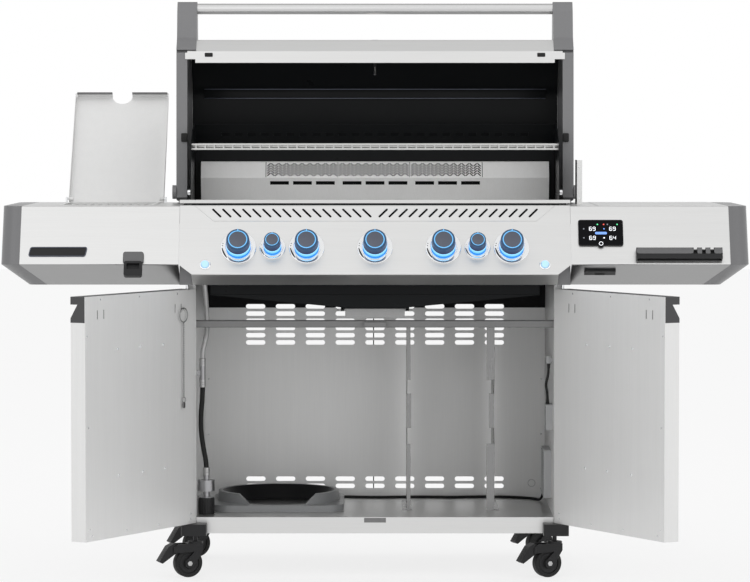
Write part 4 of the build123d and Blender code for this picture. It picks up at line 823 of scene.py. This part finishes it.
def bezel_marks(bezel, place):
    """Tapered arc and two dots printed at the left of a bezel."""
    outside, inside = [], []
    for i in range(MARK_STEPS + 1):
        angle = MARK_START + MARK_SWEEP * i / MARK_STEPS
        width = bezel * (0.012 + 0.075 * math.sin(math.pi * (i + 2) / (MARK_STEPS + 4)))
        outside.append(polar(bezel * 0.93, angle))
        inside.append(polar(bezel * 0.925 - width, angle))
    shapes = [(slab(outside + inside[::-1], 0.0, PRINT, 0), place)]
    dot = [(0, 0.0), (bezel * 0.028, 0.0), (bezel * 0.028, PRINT), (0, PRINT)]
    for angle in MARK_DOTS:
        shapes.append((turned(dot, 12), place @ shifted(*polar(bezel * 0.89, angle))))
    return joined(shapes)


knob_faces()

# Small hardware, repeated
SCREW = [(0, 0), (3.6, 0), (3.5, 0.7), (2.8, 1.4), (1.5, 1.7), (1.4, 1.0), (0, 1.0)]
SMALL_SCREW = [(0, 0), (2.4, 0), (2.3, 0.6), (1.8, 1.0), (1.0, 1.2), (0.9, 0.7), (0, 0.7)]
FLUSH_SCREW = [(0, 0), (2.6, 0), (2.5, 0.3), (1.2, 0.4), (1.1, 0.2), (0, 0.2)]
SCREW_TURN = 37  # degrees from one screw head to the next
LINER_SCREWS = [(351, 626), (246, 626), (138, 625), (347, 301), (236, 301), (133, 301)]
EDGE_SCREWS = [(428, 756), (250, 756), (71, 756), (488, 665), (483, 432), (478, 172), (468, 156), (311, 156),
               (162, 156), (9, 156), (8, 170)]


def screws(name, places, face, body="grill", profile=SMALL_SCREW):
    """Screw heads at places on a face, each turned further than the last."""
    spots = [(x, y, SCREW_TURN * i) for i, (x, y) in enumerate(places)]
    return repeated(name, turned(profile, 16), spots, face, CHROME, body)


for side, sign in SIDES:
    liner = on_door(side, 0, 0)
    for part, places, profile in (("_liner_screws", LINER_SCREWS, SCREW),
                                  ("_edge_screws", EDGE_SCREWS, FLUSH_SCREW)):
        screws(side + part, [(sign * u, z) for u, z in places], liner, "door_" + side, profile)

wall_front = facing(mm(0, WALL_FRONT, 0), FRONT)
screws("hinge_screws", [(x, z) for x in (-482, 482) for z in (740, 757, 774)], wall_front)
back_face = facing(mm(0, BACK_FACE, 0), FRONT)
screws("back_panel_screws", [(x, z) for x in (-466, 466) for z in (180, 334, 488, 642, 780)], back_face)
bracket_face = facing(mm(BRACKET_X, BRACKET_FRONT, 0), FRONT)
screws("bracket_rivets", [(6, z) for z in (1000, 1085)], bracket_face)


# Left door: lighter on a bead chain
def chain_pieces():
    def at(height, across=0.0, above=CHAIN_OUT):
        return on_door("left", CHAIN_ALONG - across, height, above).translation

    def loop(radius, height):
        circle = [polar(radius, 360 * i / 32) for i in range(32)]
        return [at(height + y, x) for x, y in circle]

    strand = bpy.data.meshes.new("strand")
    ends = [at(CHAIN_TOP + 11), at(CHAIN_LOW - 11)]
    strand.from_pydata([tuple(point) for point in ends], [(0, 1)], [])
    clip = slab(rounded_rectangle(10, 15, 3), -1.5, 1.5, 0.4)
    clip.transform(on_door("left", CHAIN_ALONG, CHAIN_LOW - 33, CHAIN_OUT))
    post_top = CHAIN_TOP + 47
    shapes = {
        "beads": grown(strand, BEADS, {"Spacing": 0.0046, "Radius": 0.0021, "Finish": CHAIN_STEEL}),
        "wire": tube(ends, 0.0007, 8),
        "ring": tube(loop(18.6, CHAIN_TOP + 30), 0.0014, closed=True),
        "eye": tube(loop(7.5, CHAIN_LOW - 19), 0.0012, closed=True),
        "clip": clip,
        "post": tube([at(post_top, above=0.2), at(post_top)], 0.0018)}
    for name, shape in shapes.items():
        piece = put("chain_" + name, shape, CHAIN_STEEL, "door_left")
        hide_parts("lighter_chain")


chain_pieces()

# Control panel: crease round the vents, button bezels
CREASE = ((-475, 986), (-425.5, 946), (425.5, 946), (475, 986))
BUTTON_BEZEL = [(10.6, 0), (15, 0), (14.6, 1.6), (13, 2.6), (11.2, 2.6), (10.6, 2.0), (10.6, 0)]
crease = [on_panel(x, z, 0.1).translation for x, z in CREASE]
put("vent_crease", tube(crease, 0.0009, 8), STEEL)
for side, sign in SIDES:
    button_face = on_panel(sign * BUTTON_X, BUTTON_Z)
    fit("button_bezel_" + side, turned(BUTTON_BEZEL), button_face, CHROME)

# Left shelf: a plain leaning plate with a border
PLATE_LEAN = 0.2  # sideways for each step up
outline = [(x + PLATE_LEAN * y, y) for x, y in rounded_rectangle(148, 25, 5)]
plate = slab(outline, 0, 1.4, 0.4)
fit("blank_plate", plate, on_panel(PLATE_X, PLATE_Z), DARK_PLASTIC)
border = [on_panel(PLATE_X, PLATE_Z, 1.2) @ Vector((x / 1000, y / 1000, 0)) for x, y in outline]
put("blank_plate_border", tube(border, 0.0015, 8, closed=True), KNOB_GREY)

# Shelf fittings: grey face of the opener, and a grey band on the hook rail between its slots, painted light
# for the rail's lit top face
RAIL_LIT_BANDS = ((-113, 37.5, 7), (46.5, 59.5, 2), (68.5, 81.5, 2), (90.5, 113, 6))  # ends and corner radius
opener = slab(rounded_rectangle(52, 32, 7), 0, 0.8, 0.3)
fit("opener_face", opener, on_panel(OPENER_X, OPENER_Z, 6), FITTING_GREY)
bands = []
# grey bands are painted light for the rail's lit top face
for left, right, radius in RAIL_LIT_BANDS:
    shape = slab(rounded_rectangle(right - left - 1, 17, radius), 0, 0.7, 0.25)
    bands.append((shape, on_panel(RAIL_X, HOOK_Z, 20) @ shifted((left + right) / 2, 6)))
put("hook_rail_band", joined(bands), FITTING_GREY)

# Display: plain digits, marks and a ring round the key
SEGMENTS = {"4": "fgbc", "6": "afgedc", "9": "abfgcd"}
BARS = {"a": (0, 5, 5.4, 1.3), "g": (0, 0, 5.4, 1.3), "d": (0, -5, 5.4, 1.3), "f": (-3.2, 2.5, 1.3, 4.2),
        "b": (3.2, 2.5, 1.3, 4.2), "e": (-3.2, -2.5, 1.3, 4.2), "c": (3.2, -2.5, 1.3, 4.2)}
DIGIT_PITCH = 9.4
READINGS = (("high_left", "69", -22, 11), ("high_right", "69", 31, 11),
            ("low_left", "69", -22, -15.2), ("low_right", "64", 31, -15.2))
DOTS = (("green_left", DIGIT_GREEN, -8.3, 23.7), ("red", DIGIT_RED, 8, 23.7),
        ("dim_top", DIGIT_DIM, 18, 23.7), ("green_right", DIGIT_GREEN, 43.7, 23.7),
        ("dim_high", DIGIT_DIM, -44.6, 11), ("dim_low", DIGIT_DIM, -44.6, -15),
        ("blue", DIGIT_BLUE, 8.6, 11), ("white", DIGIT_WHITE, 8.6, -15))
DOT = [(0, 0), (2.0, 0), (1.9, 0.25), (0, 0.3)]
KEY_RING = [(4.4, 0), (5.6, 0), (5.6, 0.3), (4.4, 0.3), (4.4, 0)]
KEY_DROP = 29  # key below the display's middle


def digits(number, x, y, plane):
    """Figures made of bars, side by side about a middle."""
    shapes = []
    for place, figure in enumerate(number):
        start = x + DIGIT_PITCH * (place - 0.5 * (len(number) - 1))
        for bar in SEGMENTS[figure]:
            dx, dy, width, height = BARS[bar]
            shapes.append((slab(rectangle(width, height, start + dx, y + dy), 0, 0.25, 0), plane))
    return joined(shapes)


def display_marks():
    plane = on_panel(DISPLAY_X, DISPLAY_Z, 5)
    key = on_panel(DISPLAY_X, DISPLAY_Z - KEY_DROP, 7)
    for name, number, x, y in READINGS:
        shape = digits(number, x, y, plane)
        put("digits_" + name, shape, DIGIT_WHITE, smooth=False)
    for name, material, x, y in DOTS:
        fit("display_dot_" + name, turned(DOT, 12), plane @ shifted(x, y), material)
    bar = slab(rounded_rectangle(31, 7, 3), 0, 0.25, 0)
    fit("display_bar", bar, plane @ shifted(0.6, -1.5), DIGIT_BLUE)
    fit("display_key_ring", turned(KEY_RING, 32), key, DIGIT_WHITE)
    rim = [plane @ Vector((x / 1000, y / 1000, -0.0006)) for x, y in rounded_rectangle(116.6, 72.6, 6)]
    put("display_rim", tube(rim, 0.0008, 8, closed=True), DARK_PLASTIC)


display_marks()

# Port cover tab
PORT_NORMAL = (0, -0.4777, -0.8785)
port_face = facing(mm(PORT_X, PORT_Y, PORT_Z), PORT_NORMAL)
tab = slab(rounded_rectangle(26, 5, 2), 0, 1.6, 0.4)
fit("port_tab", tab, port_face @ shifted(0, -6, 6), RUBBER)

# Rear burner: rows of leaning slots in three screens
SCREEN_MIDDLES = (-202, -3.5, 196.5)
SCREEN_SEAMS = (-302, -103, 96, 297)
COLUMNS, COLUMN_PITCH = 18, 10.8
ROWS, ROW_PITCH = 5, 7
SLOT_LEAN = 46  # degrees


def burner_screens():
    run = REAR_BURNER_HIGH - REAR_BURNER_LOW
    plane = facing(mm(*((REAR_BURNER_HIGH + REAR_BURNER_LOW) / 2)), (0, -run.z, run.y))
    slots = []
    for middle in SCREEN_MIDDLES:
        for i in range(COLUMNS):
            x = middle + COLUMN_PITCH * (i - (COLUMNS - 1) / 2)
            lean = SLOT_LEAN if i % 2 else -SLOT_LEAN
            slots.extend((x, ROW_PITCH * (k - (ROWS - 1) / 2), lean) for k in range(ROWS))
    # slots drawn as black marks: painted shade inside the holes
    hole = slab(rectangle(3, 12.4), 0, 0.2, 0)
    repeated("screen_slots", hole, slots, plane, BLACK_ENAMEL)
    seam = slab(rectangle(1.6, 44), 0, 0.5, 0)
    seams = [(x, 0, 0) for x in SCREEN_SEAMS]
    repeated("screen_seams", seam, seams, plane, BLACK_ENAMEL)


burner_screens()

# Back panel: rib behind it and knock-out
rib = slab(rectangle(3, 620, x=-4, y=478), -3.5, -1.45, 0)
fit("back_panel_rib", rib, back_face, DARK_PLASTIC)
knock_out = turned([(9, 0), (11, 0), (10.6, 0.8), (9.4, 0.8), (9, 0)], 32)
fit("knock_out", knock_out, back_face @ shifted(439, 196), ZINC)

# Hood: lip bumpers, stop pads, stiffener with painted highlights along its edges, dial
STIFFENER_Y, STIFFENER_Z, STIFFENER_LENGTH = 61, 1249, 960
TICK_START, TICK_STEP, TICKS = -50, 10, 29  # marks round the dial, start and step in degrees
TICK_RADIUS = 25.5
DIAL_FACE = 10.6
NEEDLE_TURN = math.radians(120)


def hood_pieces():
    for side, sign in SIDES:
        bumper = slab(rounded_rectangle(22, 11, 2), 0, 2.5, 0.6)
        lip = on_hood(sign * 456, -31, HOOD_LOW, DOWN)
        fit("lip_bumper_" + side, bumper, lip, RUBBER, "hood")
        pad = slab(rounded_rectangle(17, 24, 3), 0, 8, 0.8)
        casting = on_hood(sign * 523, 196, CASTING_LOW, DOWN)
        fit("stop_pad_" + side, pad, casting, RUBBER, "hood")
    under = on_hood(0, STIFFENER_Y, STIFFENER_Z, DOWN)
    bar = slab(rectangle(STIFFENER_LENGTH, 28), 0, 7, 0.8)
    fit("hood_stiffener", bar, under, BLACK_ENAMEL, "hood")
    # grey strips along the stiffener's edges are painted highlights
    highlight_strip = slab(rectangle(STIFFENER_LENGTH, 2.4), 0, 8.5, 0.4)
    edges = [(0, -12.8, 0), (0, 12.8, 0)]
    repeated("stiffener_flanges", highlight_strip, edges, under, KNOB_GREY, "hood")
    dial = on_hood(0, DIAL_Y, DIAL_Z, (0, -math.cos(DIAL_LEAN), math.sin(DIAL_LEAN)))
    for side, sign in SIDES:
        stud = turned([(0, -30), (2.2, -30), (2.4, -29), (2.4, -13.5), (0, -13.5)], 16)
        fit("dial_stud_" + side, stud, dial @ shifted(sign * 26, 0), CHROME, "hood")
    plate = turned([(0, 10), (31.8, 10), (31.8, 10.5), (0, DIAL_FACE)], 64)
    fit("dial_plate", plate, dial, DIAL_WHITE, "hood")
    turns = [TICK_START + TICK_STEP * i for i in range(TICKS)]
    ticks = [(*polar(TICK_RADIUS, turn), turn + 90) for turn in turns]
    lifted = dial @ shifted(0, 0, DIAL_FACE)
    tick = slab(rectangle(0.8, 5), 0, 0.15, 0)
    repeated("dial_ticks", tick, ticks, lifted, DARK_PLASTIC, "hood")
    needle = slab([(-1.2, -6), (1.2, -6), (0.3, 22), (-0.3, 22)], 0.6, 1.1, 0)
    needle_place = lifted @ Matrix.Rotation(NEEDLE_TURN, 4, "Z")
    fit("dial_needle", needle, needle_place, DIGIT_RED, "hood", smooth=False)
    hub = turned([(0, 0), (2.4, 0), (2.4, 1.0), (1.8, 1.4), (0, 1.4)], 24)
    fit("dial_hub", hub, lifted, DARK_PLASTIC, "hood")


hood_pieces()

# Casters: axle nuts, hub caps and ribs on the pedals
AXLE_NUT = [polar(7, 60 * i) for i in range(6)]
HUB_CAP = [(0, 0), (26, 0), (26, 1.2), (22, 1.6), (20, 0.9), (14.5, 0.9), (14.5, 0.2), (0, 0.2)]
PEDAL_START = (-0.0225, 0.0098)  # forward of the brake's axis and above it, in metres
PEDAL_RUN = (-0.025, -0.039)  # slope of the pedal, forward and up
PEDAL_RIBS, PEDAL_RIB_PITCH = 6, 5.5


def caster_pieces():
    for corner in CORNERS:
        hub, axle = joint_line(corner + "_roll")
        nuts, caps = [], []
        for sign in (-1, 1):
            outside = facing(hub + axle * (sign * AXLE_END / 1000), axle * sign)
            nuts.append((slab(AXLE_NUT, -1.9, 2.2, 0.5), outside))
            face = facing(hub + axle * (sign * HUB_FACE / 1000), axle * sign)
            caps.append((turned(HUB_CAP), face))
        put("axle_nuts_" + corner, joined(nuts), ZINC, "caster_" + corner)
        put("hub_caps_" + corner, joined(caps), DARK_PLASTIC, "wheel_" + corner)
        tilt, across = joint_line(corner + "_brake_tilt")
        forward = UP.cross(across)
        first = tilt + forward * PEDAL_START[0] + UP * PEDAL_START[1]
        slope = (forward * PEDAL_RUN[0] + UP * PEDAL_RUN[1]).normalized()
        pedal_normal = across.cross(slope)
        if pedal_normal.z < 0:
            pedal_normal.negate()
        rib = slab(rectangle(24, 1.6), -0.3, 0.9, 0.3)
        places = [(0, 8 + PEDAL_RIB_PITCH * i, 0) for i in range(PEDAL_RIBS)]
        repeated("pedal_ribs_" + corner, rib, places, facing(first, pedal_normal, slope), DARK_PLASTIC,
                 "brake_" + corner)


caster_pieces()

# Gas line and leads: crimped ferrules and strain reliefs at their ends, ribbed hand nut
FERRULE = [(0, -1), (8.4, -1), (8.4, 5), (7.6, 6), (8.4, 7), (8.4, 11), (7.6, 12), (8.4, 13), (8.4, 19),
           (6.7, 20), (0, 20)]
RELIEF = [(0, -0.5), (5.2, -0.5), (5.2, 2), (4.6, 3), (4.8, 5), (4.2, 6), (4.5, 8), (3.9, 9), (4.2, 11),
          (3.6, 13), (0, 13)]
NUT_RADIUS, NUT_RIBS = 20.7, 20


def sleeve(name, profile, start, toward, material):
    """Turned sleeve over the end of a cord."""
    start = mm(*start)
    along = (mm(*toward) - start).normalized()
    fit(name, turned(profile, 32), facing(start, along, along.orthogonal()), material)


for name, route, profile, material, slot in (("upper_hose_ferrule", UPPER_HOSE, FERRULE, ZINC, "polished"),
                                             ("lower_hose_ferrule", LOWER_HOSE, FERRULE, ZINC, "polished"),
                                             ("floor_lead_relief", FLOOR_LEAD, RELIEF, RUBBER, "lead_rubber"),
                                             ("wall_lead_relief", WALL_LEAD, RELIEF, RUBBER, "lead_rubber")):
    sleeve(name + "_start", profile, route[0], route[1], material)
    sleeve(name + "_end", profile, route[-1], route[-2], material)
nut_plane = Matrix.Translation(mm(NUT_X, NUT_Y, NUT_LOW))
shell = turned([(0, 0.2), (20.5, 0.2), (NUT_RADIUS, 1), (NUT_RADIUS, 45), (19.5, 46.4), (0, 46.4)])
fit("nut_sleeve", shell, nut_plane, BLACK_PAINT)
turns = [360 * i / NUT_RIBS for i in range(NUT_RIBS)]
grip = [(*polar(NUT_RADIUS, turn), turn) for turn in turns]
nut_rib = slab(rectangle(2, 2), 3, 43, 0.4)
repeated("nut_ribs", nut_rib, grip, nut_plane, BLACK_PAINT)

# Power boxes: lid screws and ribs
box_face = facing(mm(456, 220, 256.5), -RIGHT)
screws("power_box_screws", [(x, y) for x in (-62, 62) for y in (-57, 57)], box_face)
box_rib = slab(rectangle(90, 2.4), -0.3, 1.2, 0.3)
rib_rows = [(0, 8 * (i - 2.5), 0) for i in range(6)]
repeated("power_box_ribs", box_rib, rib_rows, box_face, PALE_PLASTIC)
relay_face = facing(mm(458, 115, 416), -RIGHT)
screws("relay_screws", [(-28, -27), (28, 27)], relay_face)

# Side burner: ceramic face with rows of holes
CERAMIC_THICK = 2
HOLE_PITCH = 9
ceramic_face = Matrix.Translation(mm(SIDE_X, 236.5, 953))
ceramic = slab(rectangle(146, 185), 0, CERAMIC_THICK, 0.5)
fit("side_ceramic", ceramic, ceramic_face, CERAMIC)
# holes drawn as black dots: painted shade inside them
hole = turned([(0, 0), (2, 0), (2, 0.15), (0, 0.15)], 10)
holes = [(HOLE_PITCH * (i - 7), HOLE_PITCH * (k - 9), 0) for i in range(15) for k in range(19)]
ceramic_top = ceramic_face @ shifted(0, 0, CERAMIC_THICK)
repeated("side_ceramic_holes", hole, holes, ceramic_top, BLACK_ENAMEL)

# Floor, light and background
bpy.ops.mesh.primitive_plane_add(size=40)
floor = bpy.context.object
floor.name = "floor"


def seen(tree):
    """1 for what is seen straight, mirrored or through glass, and 0 for light on the object."""
    path = add(tree, "ShaderNodeLightPath")
    straight = reckon(tree, "MAXIMUM", path.outputs["Is Camera Ray"], path.outputs["Is Glossy Ray"])
    return reckon(tree, "MAXIMUM", straight, path.outputs["Is Transmission Ray"])


def floor_material(white_share):
    """Pale floor that keeps the object's shadow and is mostly white where it is seen."""
    material, tree, surface = blank_material("floor_pale")
    cloud = use(tree, PATCHES, Scale=2.0)
    tone = tinted(tree, cloud["Tone"], (0.88, 0.88, 0.88), (0.9, 0.9, 0.9))
    wire(tree, surface, {"Base Color": tone, "Roughness": 0.6})
    white = add(tree, "ShaderNodeEmission", {"Color": (1, 1, 1, 1), "Strength": 1.0})
    share = reckon(tree, "MULTIPLY", seen(tree), white_share)
    mixed = add(tree, "ShaderNodeMixShader", {0: share, 1: surface.outputs[0], 2: white.outputs[0]})
    wire(tree, tree.nodes["Material Output"], {0: mixed.outputs[0]})
    return material


def background(ambient, ceiling):
    """White all round, greyer up behind the object, and a plain level of light from everywhere."""
    world = bpy.data.worlds.new("studio")
    bpy.context.scene.world = world
    world.use_nodes = True
    tree = world.node_tree
    tree.nodes.clear()
    place = add(tree, "ShaderNodeTexCoord").outputs["Generated"]
    toward = vectors(tree, "DOT_PRODUCT", place, (0, 0.5, 0.87), "Value")
    white = scaled(tree, toward, 0.55, 1.0, 1.0, ceiling)
    strength = scaled(tree, seen(tree), 0.0, 1.0, ambient, white)
    light = add(tree, "ShaderNodeBackground", {"Color": (1, 1, 1, 1), "Strength": strength})
    add(tree, "ShaderNodeOutputWorld", {0: light.outputs[0]})


def softbox(name, place, target, width, height, power):
    lamp = bpy.data.lights.new(name, "AREA")
    lamp.shape = "RECTANGLE"
    lamp.size, lamp.size_y = width, height
    lamp.energy = power
    holder = shown(name, lamp)
    holder.location = place
    holder.rotation_euler = (Vector(target) - Vector(place)).to_track_quat("-Z", "Y").to_euler()


floor.data.materials.append(floor_material(0.75))
background(0.85, 0.4)
softbox("key_light", (-2.2, -4.2, 3.4), (0, 0, 0.8), 5.0, 4.0, 22)
softbox("fill_light", (2.8, -3.8, 2.4), (0, 0, 0.8), 4.2, 3.6, 14)
softbox("top_light", (0, 0.2, 3.9), (0, 0, 0.9), 4.0, 3.0, 12)
